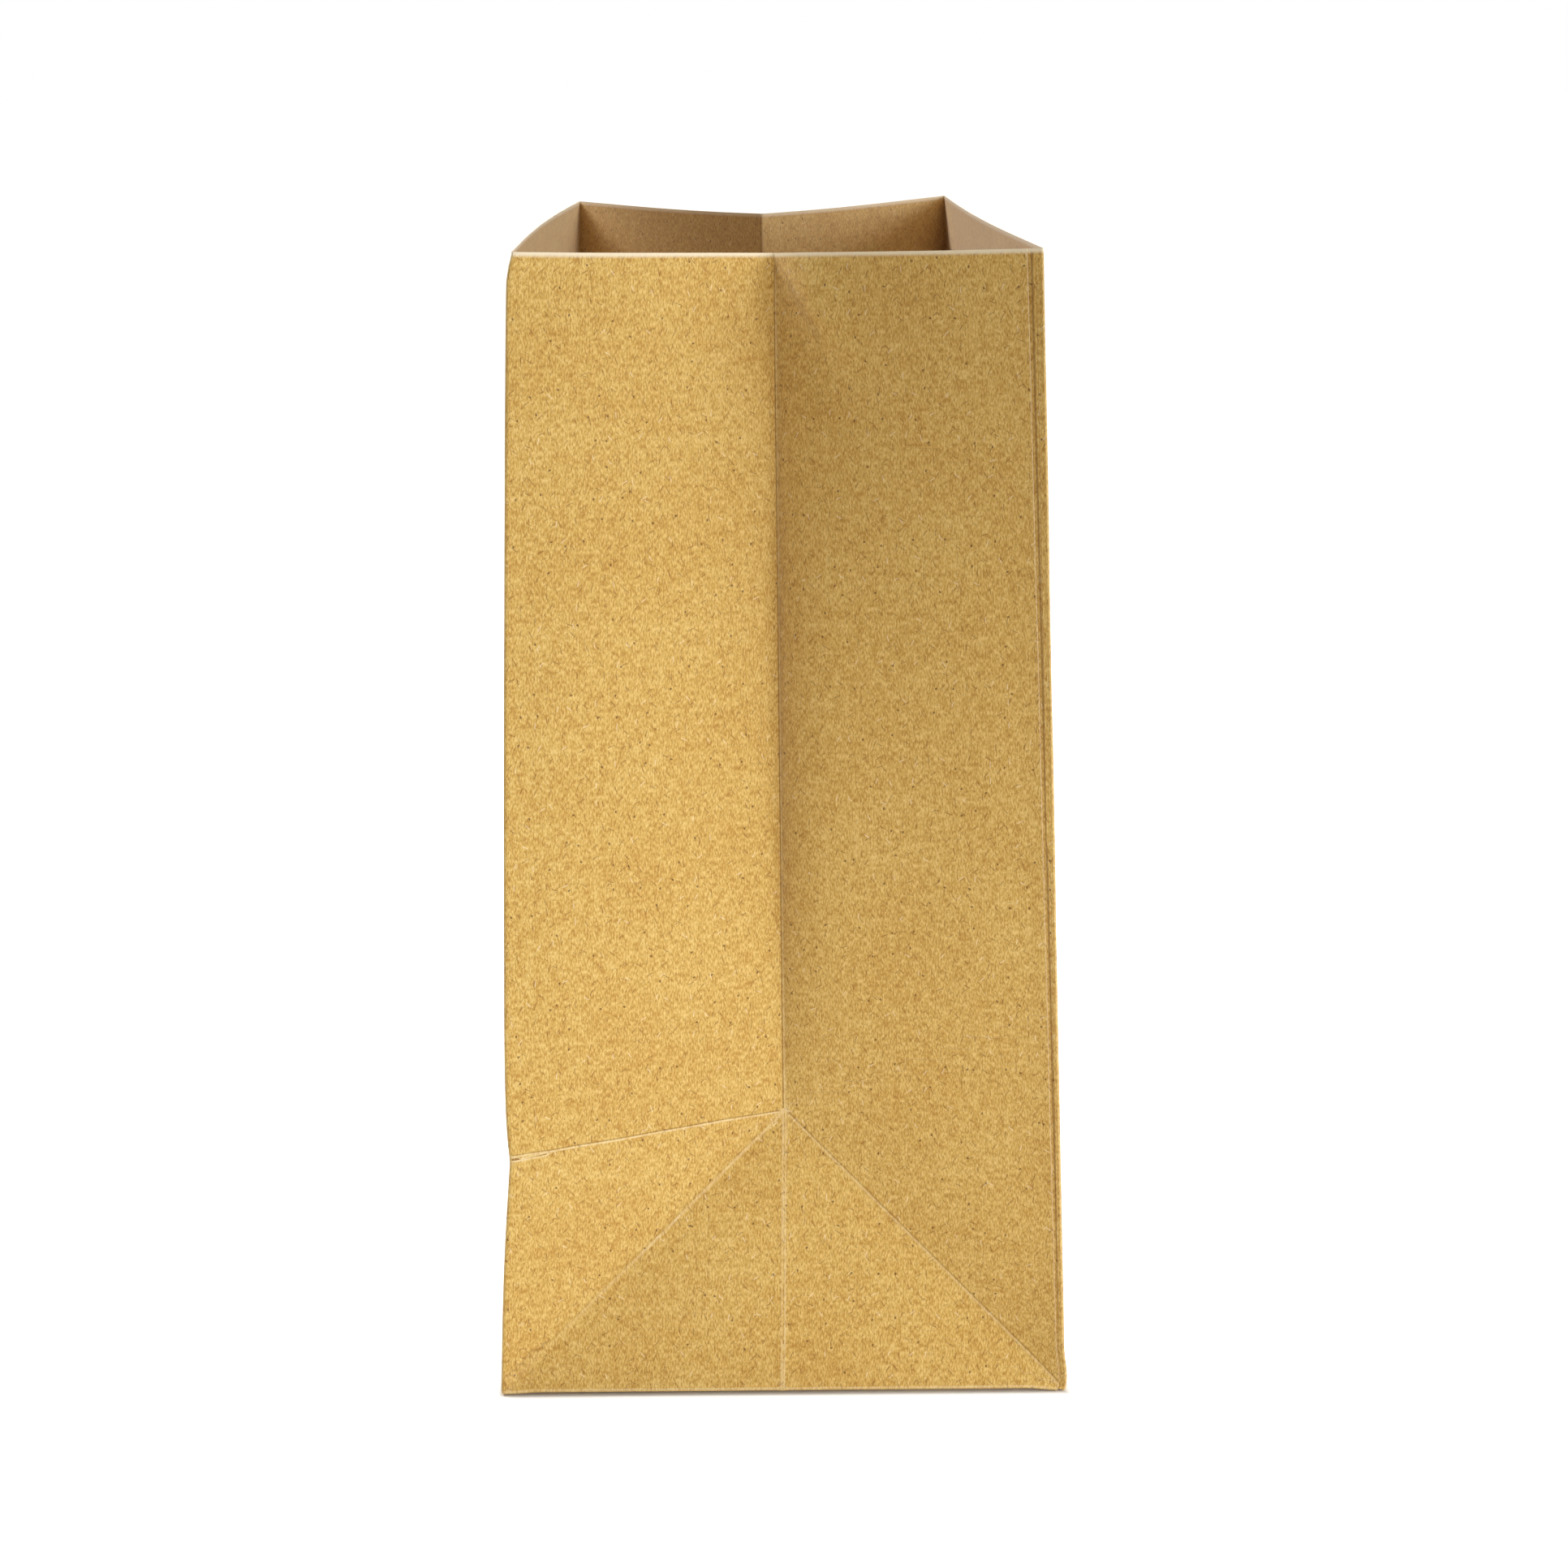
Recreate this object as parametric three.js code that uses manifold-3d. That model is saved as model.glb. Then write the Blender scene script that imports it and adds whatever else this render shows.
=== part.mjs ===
// Paper gift bag: one blank of kraft paper, folded and pasted into a block-bottom bag with side gussets.
// Millimetres, +Z up. The wide panels face left (-X) and right (+X), the gussets near (-Y) and far (+Y).
// The paper doesn't stretch, so the places of the folds follow from lengths measured along the sheet.
import * as THREE from 'three';
import { mergeVertices } from 'three/addons/utils/BufferGeometryUtils.js';
import Module from 'manifold-3d';

// The folded blank
const PANEL_WIDTH = 210; // wide panels, along Y
const GUSSET_WIDTH = 132; // gussets, laid flat
const WALL_HEIGHT = 265; // base fold to cut rim, along the paper
const PAPER = 0.2; // thickness of one ply
const CREASE_HEIGHT = 58; // storage crease of the left panel above the base, along the paper
const LAP_WIDTH = 18; // pasted side lap, measured from the near right fold
const LAP_SETBACK = 2.6; // bare strip between the near right fold and the cut edge beside it
const BASE_LAP = 24; // overlap of the two bottom flaps

// How far each gusset's middle fold stands in from the plane of the gusset
const NEAR_RIM_VALLEY = 32;
const NEAR_APEX_VALLEY = 17.5;
const FAR_RIM_VALLEY = 42;
const FAR_APEX_VALLEY = 20;

// How the paper stands when the bag is opened
const FOLD_RADIUS = 1.2; // roundness of the four upright folds
const FOLD_FLAT = 0.8; // pressed line along each gusset's middle fold
const DIAGONAL_SETBACK = 7; // from a base corner to the start of its diagonal fold
const CREASE_INSET = 1.7; // notch in the left folds where the storage crease ends
const LEFT_FOLD_BOW = 1.3; // outward bow of the left folds above the crease
const FAR_LEAN = 1.5; // far folds lean in at the rim
const FAR_SHIFT = -3; // far rim stands over to the left
const GUSSET_SWELL = 2.4; // swell of each half gusset at the rim
const LEFT_SWELL = { crease: -1.8, middle: 2.0, rim: 1.7 }; // swell of the left panel
const RIGHT_SWELL = { crease: 0.8, middle: 1.0, rim: -1.7 }; // swell of the right panel, drawn in at the rim

// Fineness of the faceted sheet
const LOWER_ROWS = 5;
const UPPER_ROWS = 9;
const PANEL_STEPS = 8;
const GUSSET_STEPS = 6;
const CORNER_STEPS = 3;
const CUT_STEP = 0.05; // run of the small step at a cut edge
const POCKET_MARGIN = 5; // how far a relief runs past the outline
const FLAP_MARGIN = 1; // how far the right flap's outline runs past its folds, which aren't cut
const WELD = 1e-5; // corners nearer than this are one

// Low on the bag a half gusset is narrow, and the lap and the bare strip take no more than these shares of it
const LAP_SHARE = 0.6;
const STRIP_SHARE = 0.25;

const KRAFT = new THREE.MeshStandardMaterial({ color: 0xd2ab68, roughness: 0.88, metalness: 0 });

// Lengths that follow from the blank
const HALF_GUSSET = GUSSET_WIDTH / 2;
const HALF_PANEL = PANEL_WIDTH / 2;
const BASE_REACH = HALF_GUSSET + BASE_LAP / 2; // length of every bottom flap
const BASE_PLIES = 3;

const vec = (x, y, z) => new THREE.Vector3(x, y, z);

// The short leg of a right triangle that a length of paper closes.
function legOf(length, otherLeg) {
  return Math.sqrt(length ** 2 - otherLeg ** 2);
}

// A fold line through its base, crease and rim points. Level 0 is the base, 1 the crease, 2 the rim.
function foldLine(base, crease, rim, bow = vec(0, 0, 0)) {
  return (level) => {
    if (level <= 1) return base.clone().lerp(crease, level);
    const rise = level - 1;
    return crease.clone().lerp(rim, rise).addScaledVector(bow, Math.sin(Math.PI * rise));
  };
}

// An upright fold. side is -1 left or 1 right, end is -1 near or 1 far.
function uprightFold(side, end) {
  const rimValley = end < 0 ? NEAR_RIM_VALLEY : FAR_RIM_VALLEY;
  const lean = end < 0 ? 0 : FAR_LEAN;
  const shift = end < 0 ? 0 : FAR_SHIFT;
  const base = vec(side * HALF_GUSSET, end * HALF_PANEL, 0);
  const rimAcross = side * legOf(HALF_GUSSET, rimValley) + shift;
  const rimHeight = legOf(legOf(WALL_HEIGHT, rimAcross - base.x), lean);
  const rim = vec(rimAcross, end * (HALF_PANEL - lean), rimHeight);
  const creased = side < 0;
  const crease = base.clone().lerp(rim, (creased ? CREASE_HEIGHT : HALF_GUSSET) / WALL_HEIGHT);
  if (creased) crease.x += CREASE_INSET;
  return foldLine(base, crease, rim, vec(creased ? -LEFT_FOLD_BOW : 0, 0, 0));
}

// One edge of a gusset's middle fold: up a diagonal to the apex of the base triangle, then up to the rim.
function middleFold(side, end) {
  const rimValley = end < 0 ? NEAR_RIM_VALLEY : FAR_RIM_VALLEY;
  const apexValley = end < 0 ? NEAR_APEX_VALLEY : FAR_APEX_VALLEY;
  const shift = end < 0 ? 0 : FAR_SHIFT;
  const apexHeight = legOf(HALF_GUSSET, apexValley);
  const rise = legOf(legOf(WALL_HEIGHT - HALF_GUSSET, rimValley - apexValley), shift);
  const rimHeight = apexHeight + rise;
  const offset = (side * FOLD_FLAT) / 2;
  const base = vec(side * (HALF_GUSSET - DIAGONAL_SETBACK), end * HALF_PANEL, 0);
  const apex = vec(offset, end * (HALF_PANEL - apexValley), apexHeight);
  const rim = vec(offset + shift, end * (HALF_PANEL - rimValley), rimHeight);
  return foldLine(base, apex, rim);
}

const UPRIGHTS = {
  nearLeft: uprightFold(-1, -1),
  nearRight: uprightFold(1, -1),
  farRight: uprightFold(1, 1),
  farLeft: uprightFold(-1, 1),
};
const MIDDLES = {
  nearLeft: middleFold(-1, -1),
  nearRight: middleFold(1, -1),
  farRight: middleFold(1, 1),
  farLeft: middleFold(-1, 1),
};

// Swell of a panel at a level: none at the base, then its crease, middle and rim values.
function panelSwell(swell, level) {
  if (level <= 1) return swell.crease * level;
  const rise = level - 1;
  const straight = THREE.MathUtils.lerp(swell.crease, swell.rim, rise);
  return straight + swell.middle * Math.sin(Math.PI * rise);
}

// A station of the section: a point of the outer face, its wall in plies, and how far it is sunk.
const station = (point, plies = 1, sunk = 0) => ({ point, plies, sunk });

// The rounded stations of an upright fold between the points that its two faces run to.
function cornerStations(before, corner, after) {
  const toBefore = before.clone().sub(corner).normalize();
  const toAfter = after.clone().sub(corner).normalize();
  const setback = FOLD_RADIUS / Math.tan(toBefore.angleTo(toAfter) / 2);
  const start = corner.clone().addScaledVector(toBefore, setback);
  const end = corner.clone().addScaledVector(toAfter, setback);
  return new THREE.QuadraticBezierCurve3(start, corner, end).getPoints(CORNER_STEPS);
}

// A point at a share of the way from one point to another, swollen outwards of the straight line.
function swollen(from, to, share, swell) {
  const chord = to.clone().sub(from);
  const outward = vec(chord.y, -chord.x, 0).normalize();
  const lift = swell * Math.sin(Math.PI * share);
  return from.clone().addScaledVector(chord, share).addScaledVector(outward, lift);
}

// Stations strictly between two points.
function between(from, to, steps, swell) {
  const shares = Array.from({ length: steps - 1 }, (_, index) => (index + 1) / steps);
  return shares.map((share) => station(swollen(from, to, share, swell)));
}

// The near right half gusset, from its middle fold to the upright fold, with the pasted side lap.
// The cut edge of the gusset lies on the lap, and the strip beside it is one ply lower.
function lappedHalf(middle, corner, steps, swell) {
  const width = corner.distanceTo(middle);
  const lap = Math.min(LAP_WIDTH, width * LAP_SHARE);
  const setback = Math.min(LAP_SETBACK, width * STRIP_SHARE);
  const at = (distance) => swollen(middle, corner, 1 - distance / width, swell);
  const plain = Array.from({ length: steps - 1 }, (_, index) => {
    const run = ((index + 1) / steps) * (width - lap);
    return station(at(width - run));
  });
  const lapEnd = [station(at(lap + CUT_STEP)), station(at(lap), 2)];
  const cutEdge = [station(at(setback + CUT_STEP), 2), station(at(setback), 1, PAPER)];
  return [...plain, ...lapEnd, ...cutEdge];
}

// The closed section of the outer face at a level, counter-clockwise seen from above.
function section(level) {
  const upright = Object.fromEntries(Object.entries(UPRIGHTS).map(([name, at]) => [name, at(level)]));
  const middle = Object.fromEntries(Object.entries(MIDDLES).map(([name, at]) => [name, at(level)]));
  const gussetSwell = GUSSET_SWELL * Math.max(0, level - 1);
  const rightSwell = panelSwell(RIGHT_SWELL, level);
  const leftSwell = panelSwell(LEFT_SWELL, level);
  const nearLeft = cornerStations(upright.farLeft, upright.nearLeft, middle.nearLeft);
  const nearRight = cornerStations(middle.nearRight, upright.nearRight, upright.farRight);
  const farRight = cornerStations(upright.nearRight, upright.farRight, middle.farRight);
  const farLeft = cornerStations(middle.farLeft, upright.farLeft, upright.nearLeft);
  const sink = (index) => PAPER * (1 - index / CORNER_STEPS);
  return [
    ...nearLeft.map((point) => station(point)),
    ...between(nearLeft.at(-1), middle.nearLeft, GUSSET_STEPS, gussetSwell),
    station(middle.nearLeft),
    station(middle.nearRight),
    ...lappedHalf(middle.nearRight, nearRight[0], GUSSET_STEPS - 1, gussetSwell),
    ...nearRight.map((point, index) => station(point, 1, sink(index))),
    ...between(nearRight.at(-1), farRight[0], PANEL_STEPS, rightSwell),
    ...farRight.map((point) => station(point)),
    ...between(farRight.at(-1), middle.farRight, GUSSET_STEPS, gussetSwell),
    station(middle.farRight),
    station(middle.farLeft),
    ...between(middle.farLeft, farLeft[0], GUSSET_STEPS, gussetSwell),
    ...farLeft.map((point) => station(point)),
    ...between(farLeft.at(-1), nearLeft[0], PANEL_STEPS, leftSwell),
  ];
}

// Levels from the base to the rim, with one row of the sheet on the storage crease.
function levels() {
  const lower = Array.from({ length: LOWER_ROWS }, (_, row) => row / LOWER_ROWS);
  const upper = Array.from({ length: UPPER_ROWS + 1 }, (_, row) => 1 + row / UPPER_ROWS);
  return [...lower, ...upper];
}

// Two triangles for each cell between neighbouring rows of a closed grid.
function gridFaces(rows, columns, start, flipped) {
  const faces = [];
  for (let row = 0; row < rows - 1; row += 1) {
    for (let column = 0; column < columns; column += 1) {
      const next = (column + 1) % columns;
      const a = start + row * columns + column;
      const b = start + row * columns + next;
      const c = b + columns;
      const d = a + columns;
      faces.push(...(flipped ? [a, c, b, a, d, c] : [a, b, c, a, c, d]));
    }
  }
  return faces;
}

// Outward directions of the outer face at each of its stations.
function outwardNormals(points, rows, columns) {
  const face = new THREE.BufferGeometry().setFromPoints(points);
  face.setIndex(gridFaces(rows, columns, 0, false));
  face.computeVertexNormals();
  const normals = face.getAttribute('normal');
  return points.map((_, index) => new THREE.Vector3().fromBufferAttribute(normals, index));
}

// The walls and a bottom of full thickness: the sections lofted, with the wall's plies laid inwards.
function loftedBag() {
  const sections = levels().map(section);
  const rows = sections.length;
  const columns = sections[0].length;
  const stations = sections.flat();
  const sheet = stations.map(({ point }) => point);
  const normals = outwardNormals(sheet, rows, columns);
  const moved = (index, depth) => sheet[index].clone().addScaledVector(normals[index], -depth);
  const outer = stations.map(({ sunk }, index) => moved(index, sunk));
  const inner = stations.map(({ plies, sunk }, index) => moved(index, sunk + plies * PAPER));
  outer.slice(0, columns).forEach((point) => point.setZ(0));
  inner.slice(0, columns).forEach((point) => point.setZ(BASE_PLIES * PAPER));

  const innerStart = outer.length;
  const faces = [...gridFaces(rows, columns, 0, false), ...gridFaces(rows, columns, innerStart, true)];
  const outerRim = (rows - 1) * columns;
  const innerRim = innerStart + outerRim;
  for (let column = 0; column < columns; column += 1) {
    const next = (column + 1) % columns;
    faces.push(outerRim + column, outerRim + next, innerRim + next);
    faces.push(outerRim + column, innerRim + next, innerRim + column);
  }
  const flat = (points) => points.map(({ x, y }) => new THREE.Vector2(x, y));
  for (const [a, b, c] of THREE.ShapeUtils.triangulateShape(flat(outer.slice(0, columns)), [])) {
    faces.push(a, c, b);
  }
  for (const [a, b, c] of THREE.ShapeUtils.triangulateShape(flat(inner.slice(0, columns)), [])) {
    faces.push(innerStart + a, innerStart + b, innerStart + c);
  }
  return new THREE.BufferGeometry().setFromPoints([...outer, ...inner]).setIndex(faces);
}

// An upright prism on an outline of [x, y] corners, with an optional hole.
function prism(corners, bottom, top, hole = null) {
  const outline = new THREE.Shape(corners.map(([x, y]) => new THREE.Vector2(x, y)));
  if (hole) outline.holes.push(new THREE.Path(hole.map(([x, y]) => new THREE.Vector2(x, y))));
  const solid = new THREE.ExtrudeGeometry(outline, { depth: top - bottom, bevelEnabled: false });
  return solid.translate(0, 0, bottom);
}

// Reliefs that leave each bottom flap its own ply. The right flap lies outermost, over the left one.
// The end flaps of the gussets lie inside both, and show outside as a triangle at each end.
function bottomReliefs() {
  const wide = HALF_GUSSET + POCKET_MARGIN;
  const long = HALF_PANEL + POCKET_MARGIN;
  const freeEdge = HALF_GUSSET - BASE_REACH;
  const freeHalf = HALF_PANEL - BASE_REACH;
  const rightFlap = [
    [HALF_GUSSET, -HALF_PANEL],
    [HALF_GUSSET, HALF_PANEL],
    [freeEdge, freeHalf],
    [freeEdge, -freeHalf],
  ];
  const pastFolds = ([x, y]) => [x + FLAP_MARGIN, y + Math.sign(y) * FLAP_MARGIN];
  const beyond = rightFlap.map((corner) => (corner[0] > 0 ? pastFolds(corner) : corner));
  const around = [[-wide, -long], [wide, -long], [wide, long], [-wide, long]];
  const besideRightFlap = prism(around, -POCKET_MARGIN, PAPER, beyond);
  const triangles = [-1, 1].map((end) => {
    const apex = [0, end * (HALF_PANEL - HALF_GUSSET)];
    return prism([[-wide, end * long], [wide, end * long], apex], -POCKET_MARGIN, 2 * PAPER);
  });
  const clear = HALF_GUSSET - FOLD_RADIUS;
  const band = [[-clear, -freeHalf], [clear, -freeHalf], [clear, freeHalf], [-clear, freeHalf]];
  const betweenEndFlaps = prism(band, 2 * PAPER, POCKET_MARGIN);
  return [besideRightFlap, ...triangles, betweenEndFlaps];
}

const wasm = await Module();
wasm.setup();

// A closed geometry as a solid for joining and cutting.
function toSolid(geometry) {
  const plain = geometry.clone();
  plain.deleteAttribute('normal');
  plain.deleteAttribute('uv');
  const merged = mergeVertices(plain, WELD);
  const vertProperties = new Float32Array(merged.getAttribute('position').array);
  const triVerts = new Uint32Array(merged.getIndex().array);
  return new wasm.Manifold(new wasm.Mesh({ numProp: 3, vertProperties, triVerts }));
}

// A solid back as a geometry.
function toGeometry(solid) {
  const { vertProperties, triVerts } = solid.getMesh();
  const geometry = new THREE.BufferGeometry();
  geometry.setAttribute('position', new THREE.BufferAttribute(new Float32Array(vertProperties), 3));
  geometry.setIndex(new THREE.BufferAttribute(new Uint32Array(triVerts), 1));
  geometry.computeVertexNormals();
  return geometry;
}

// The bag with its bottom flaps relieved, standing on the right flap over the middle of its base.
function foldedBag() {
  const relieved = (solid, relief) => solid.subtract(toSolid(relief));
  const geometry = toGeometry(bottomReliefs().reduce(relieved, toSolid(loftedBag())));
  geometry.computeBoundingBox();
  const { min, max } = geometry.boundingBox;
  return geometry.translate(-(min.x + max.x) / 2, -(min.y + max.y) / 2, -min.z);
}

const bag = new THREE.Mesh(foldedBag(), KRAFT);
bag.name = 'paper_bag';

const giftBag = new THREE.Group();
giftBag.add(bag);

export default giftBag;
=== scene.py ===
"""Paper gift bag: one kraft blank, scored flat, folded into a block-bottom bag and set in a plain studio."""

import logging
import math
from dataclasses import dataclass
from enum import Enum
from typing import ClassVar, Sequence

import bpy
import numpy as np
from mathutils import Matrix, Vector


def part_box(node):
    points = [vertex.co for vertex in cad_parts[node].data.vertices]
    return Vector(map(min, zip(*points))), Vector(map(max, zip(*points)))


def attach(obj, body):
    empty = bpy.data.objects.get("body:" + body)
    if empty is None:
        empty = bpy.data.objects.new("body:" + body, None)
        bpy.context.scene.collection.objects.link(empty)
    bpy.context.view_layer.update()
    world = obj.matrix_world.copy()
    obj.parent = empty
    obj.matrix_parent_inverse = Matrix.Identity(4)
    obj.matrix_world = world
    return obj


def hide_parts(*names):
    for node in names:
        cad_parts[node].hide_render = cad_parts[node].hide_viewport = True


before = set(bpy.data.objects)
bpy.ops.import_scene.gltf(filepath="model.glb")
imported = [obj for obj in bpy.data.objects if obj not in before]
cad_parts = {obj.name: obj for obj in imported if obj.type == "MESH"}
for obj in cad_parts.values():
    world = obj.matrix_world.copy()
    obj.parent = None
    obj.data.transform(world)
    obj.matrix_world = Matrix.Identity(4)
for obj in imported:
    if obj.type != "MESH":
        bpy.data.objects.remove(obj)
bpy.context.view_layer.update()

MM = 0.001  # the bag's own sizes are in millimetres, Blender's in metres
BAG_NODE = "paper_bag"
BODY = "root"
FLAT_MAP = "Blank"  # the piece's UV map: its place on the flat blank, in metres
TINY = 1e-6  # least length to divide by, in millimetres
FAR_OFF = 9.0  # gaps from folds and cut edges are kept up to this

LOG = logging.getLogger("paper_gift_bag")


class Side(Enum):
    """The wide panel that a piece of the blank belongs to."""

    LEFT = -1
    RIGHT = 1


class End(Enum):
    """The gusset that a piece of the blank belongs to."""

    NEAR = -1
    FAR = 1


class Strip(Enum):
    """The strips of the blank, in their order along it."""

    NEAR = "near gusset"
    LEFT = "left panel"
    FAR = "far gusset"
    RIGHT = "right panel"
    LAP = "pasted lap"


class Ply(Enum):
    """Heights of the bottom's plies above the floor, at the middle of the paper, in millimetres."""

    RIGHT = 0.12
    LEFT = 0.36
    WEB = 0.6
    END = 0.86


class Mark(Enum):
    """Vertex attributes that carry the paper's handling marks and its painted fold shade to its finish."""

    FOLD_GAP = "fold_gap"  # signed distance from the nearest line of fold wear and painted shade, in widths of that line's marks
    FOLD_PALE = "fold_pale"  # how bare that fold's fibres are
    FOLD_DARK = "fold_dark"  # how dark the painted shade beside that fold is
    CUT_GAP = "cut_gap"  # distance from the nearest cut edge, in millimetres
    INSIDE = "inside"  # 1 on the sheet's inner face


def linear(hex_colour: str) -> tuple[float, float, float, float]:
    """Turn an sRGB hex colour into linear RGBA.

    Args:
        hex_colour: six hex digits, such as "c9a05c".

    Returns:
        The linear colour with full alpha.
    """
    parts = [int(hex_colour[i:i + 2], 16) / 255 for i in (0, 2, 4)]
    bent = [p / 12.92 if p <= 0.04045 else ((p + 0.055) / 1.055) ** 2.4 for p in parts]
    return (*bent, 1.0)


def smooth_step(value: np.ndarray) -> np.ndarray:
    """Ease a value from 0 to 1 with level ends."""
    t = np.clip(value, 0.0, 1.0)
    return t * t * (3.0 - 2.0 * t)


def blend_points(a: np.ndarray, b: np.ndarray, share: np.ndarray) -> np.ndarray:
    """Points at a share of the way from a to b, one share for each row."""
    return a + (b - a) * np.asarray(share)[:, None]


def corner_places(mesh: bpy.types.Mesh) -> np.ndarray:
    """Read the places of a mesh's corners.

    Args:
        mesh: the mesh to read.

    Returns:
        The places, one row each.
    """
    places = np.empty(len(mesh.vertices) * 3)
    mesh.vertices.foreach_get("co", places)
    return places.reshape(-1, 3)


def add_node(tree: bpy.types.NodeTree, kind: str, inputs: dict | None = None,
             **settings: object) -> bpy.types.Node:
    """Add a node with its settings, and set or link its inputs.

    Args:
        tree: the node tree to add to.
        kind: the node's type name, less its ShaderNode prefix.
        inputs: input name or number to a value, or to an output socket to link.
        settings: the node's own properties.

    Returns:
        The new node.
    """
    node = tree.nodes.new("ShaderNode" + kind)
    for name, value in settings.items():
        setattr(node, name, value)
    for name, value in (inputs or {}).items():
        socket = node.inputs[name]
        if isinstance(value, bpy.types.NodeSocket):
            tree.links.new(value, socket)
        else:
            socket.default_value = value
    return node


@dataclass(frozen=True)
class Blank:
    """The flat kraft blank, in millimetres.

    Along the blank, `along` runs from the near right fold over the near gusset, the left panel, the far
    gusset, the right panel and the lap. `up` is 0 at the base fold, and the bottom flaps lie below it.
    """

    panel: float
    gusset: float
    wall: float
    paper: float = 0.2  # the sheet's thickness
    lap: float = 18.0
    base_lap: float = 24.0  # how far the two panels' bottom flaps overlap
    crease: float = 58.0  # height of the storage crease on the left panel
    cut_inset_base: float = 1.7  # from the near right fold to the pasted cut edge, at the base and at the rim
    cut_inset_rim: float = 3.5

    @classmethod
    def from_box(cls, low: Vector, high: Vector, near_valley: float) -> "Blank":
        """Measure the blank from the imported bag's box.

        Args:
            low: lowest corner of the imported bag, in metres.
            high: highest corner, in metres.
            near_valley: depth of the near gusset's middle fold at the rim, in millimetres.

        Returns:
            The blank that folds to that box.
        """
        width, depth, height = ((high - low) / MM)[:]
        half = width / 2
        inset = half - math.sqrt(half ** 2 - near_valley ** 2)
        return cls(panel=depth, gusset=width, wall=math.hypot(height, inset))

    @property
    def half(self) -> float:
        """Half the gusset, which is also the height of its base triangle."""
        return self.gusset / 2

    @property
    def flap(self) -> float:
        """Length of every bottom flap."""
        return self.half + self.base_lap / 2

    @property
    def left_start(self) -> float:
        """Where the left panel starts along the blank."""
        return self.gusset

    @property
    def far_start(self) -> float:
        """Where the far gusset starts along the blank."""
        return self.gusset + self.panel

    @property
    def right_start(self) -> float:
        """Where the right panel starts along the blank."""
        return 2 * self.gusset + self.panel

    @property
    def lap_start(self) -> float:
        """Where the pasted lap starts along the blank."""
        return 2 * (self.gusset + self.panel)

    @property
    def posts(self) -> tuple[float, ...]:
        """Where the upright folds are along the blank."""
        return self.left_start, self.far_start, self.right_start, self.lap_start

    @property
    def flat_size(self) -> tuple[float, float]:
        """Width and length of the cut blank."""
        return self.lap_start + self.lap - self.cut_inset_base, self.wall + self.flap

    def strips(self, along: np.ndarray) -> dict[Strip, np.ndarray]:
        """Which places along the blank lie on which strip.

        Args:
            along: places along the blank.

        Returns:
            A mask of those places for each strip.
        """
        number = np.searchsorted(self.posts, along, side="right")
        return {strip: number == place for place, strip in enumerate(Strip)}

    def run(self, strip: Strip, along: np.ndarray) -> np.ndarray:
        """Distances across a strip, from its left fold on a gusset and from its near fold on a panel.

        Args:
            strip: the strip.
            along: places along the blank.

        Returns:
            The distances.
        """
        starts = {
            Strip.NEAR: self.gusset - along,
            Strip.LEFT: along - self.left_start,
            Strip.FAR: along - self.far_start,
            Strip.RIGHT: self.lap_start - along,
            Strip.LAP: self.gusset - (along - self.lap_start),
        }
        return starts[strip]

    def cut_inset(self, up: np.ndarray) -> np.ndarray:
        """How far the blank's first cut edge lies from the near right fold, at a height."""
        share = np.clip(up / self.wall, 0.0, 1.0)
        return self.cut_inset_base + (self.cut_inset_rim - self.cut_inset_base) * share

    def crease_height(self, along: np.ndarray) -> np.ndarray:
        """Height of the storage crease, which climbs over the left half gussets to their base triangles.

        Args:
            along: places along the blank.

        Returns:
            The heights.
        """
        left_gap = np.minimum(np.abs(along - self.left_start), np.abs(along - self.far_start))
        inside_left = (along >= self.left_start) & (along <= self.far_start)
        share = np.where(inside_left, 0.0, np.clip(left_gap / self.half, 0.0, 1.0))
        return self.crease + (self.half - self.crease) * share


@dataclass(frozen=True)
class Dent:
    """A soft bulge, or with a negative height a soft hollow, in millimetres on the blank."""

    along: float
    up: float
    height: float
    reach: tuple[float, float]
    turn: float = 0.0  # in degrees, from along toward up

    def relief(self, along: np.ndarray, up: np.ndarray) -> np.ndarray:
        """How far the dent lifts the paper.

        Args:
            along: places along the blank.
            up: heights on the blank.

        Returns:
            The outward distances.
        """
        cos, sin = math.cos(math.radians(self.turn)), math.sin(math.radians(self.turn))
        x, y = along - self.along, up - self.up
        a, b = (x * cos + y * sin) / self.reach[0], (y * cos - x * sin) / self.reach[1]
        return self.height * np.exp(-(a ** 2) - b ** 2)


@dataclass(frozen=True)
class Cockle:
    """Low waves that handled paper keeps, the same on every run, in millimetres."""

    height: float = 0.07
    seed: int = 58
    count: int = 14
    lengths: tuple[float, float] = (22.0, 70.0)
    base_quiet: float = 24.0  # the base fold holds the waves flat up to here
    rim_quiet: float = 40.0  # they are lower this near the rim
    rim_share: float = 0.25  # what is left of them at the rim

    def relief(self, along: np.ndarray, up: np.ndarray, wall: float) -> np.ndarray:
        """How far the waves lift the paper.

        Args:
            along: places along the blank.
            up: heights on the blank.
            wall: height of the rim.

        Returns:
            The outward distances.
        """
        waves = np.random.default_rng(self.seed)
        total = np.zeros_like(along)
        for _ in range(self.count):
            length, angle = waves.uniform(*self.lengths), waves.uniform(0.0, math.pi)
            phase = (along * math.cos(angle) + up * math.sin(angle)) / length + waves.uniform(0.0, 1.0)
            total += np.sin(math.tau * phase) * length / (sum(self.lengths) / 2)
        at_rim = self.rim_share + (1.0 - self.rim_share) * smooth_step((wall - up) / self.rim_quiet)
        return self.height * total / math.sqrt(self.count) * smooth_step(up / self.base_quiet) * at_rim


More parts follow.
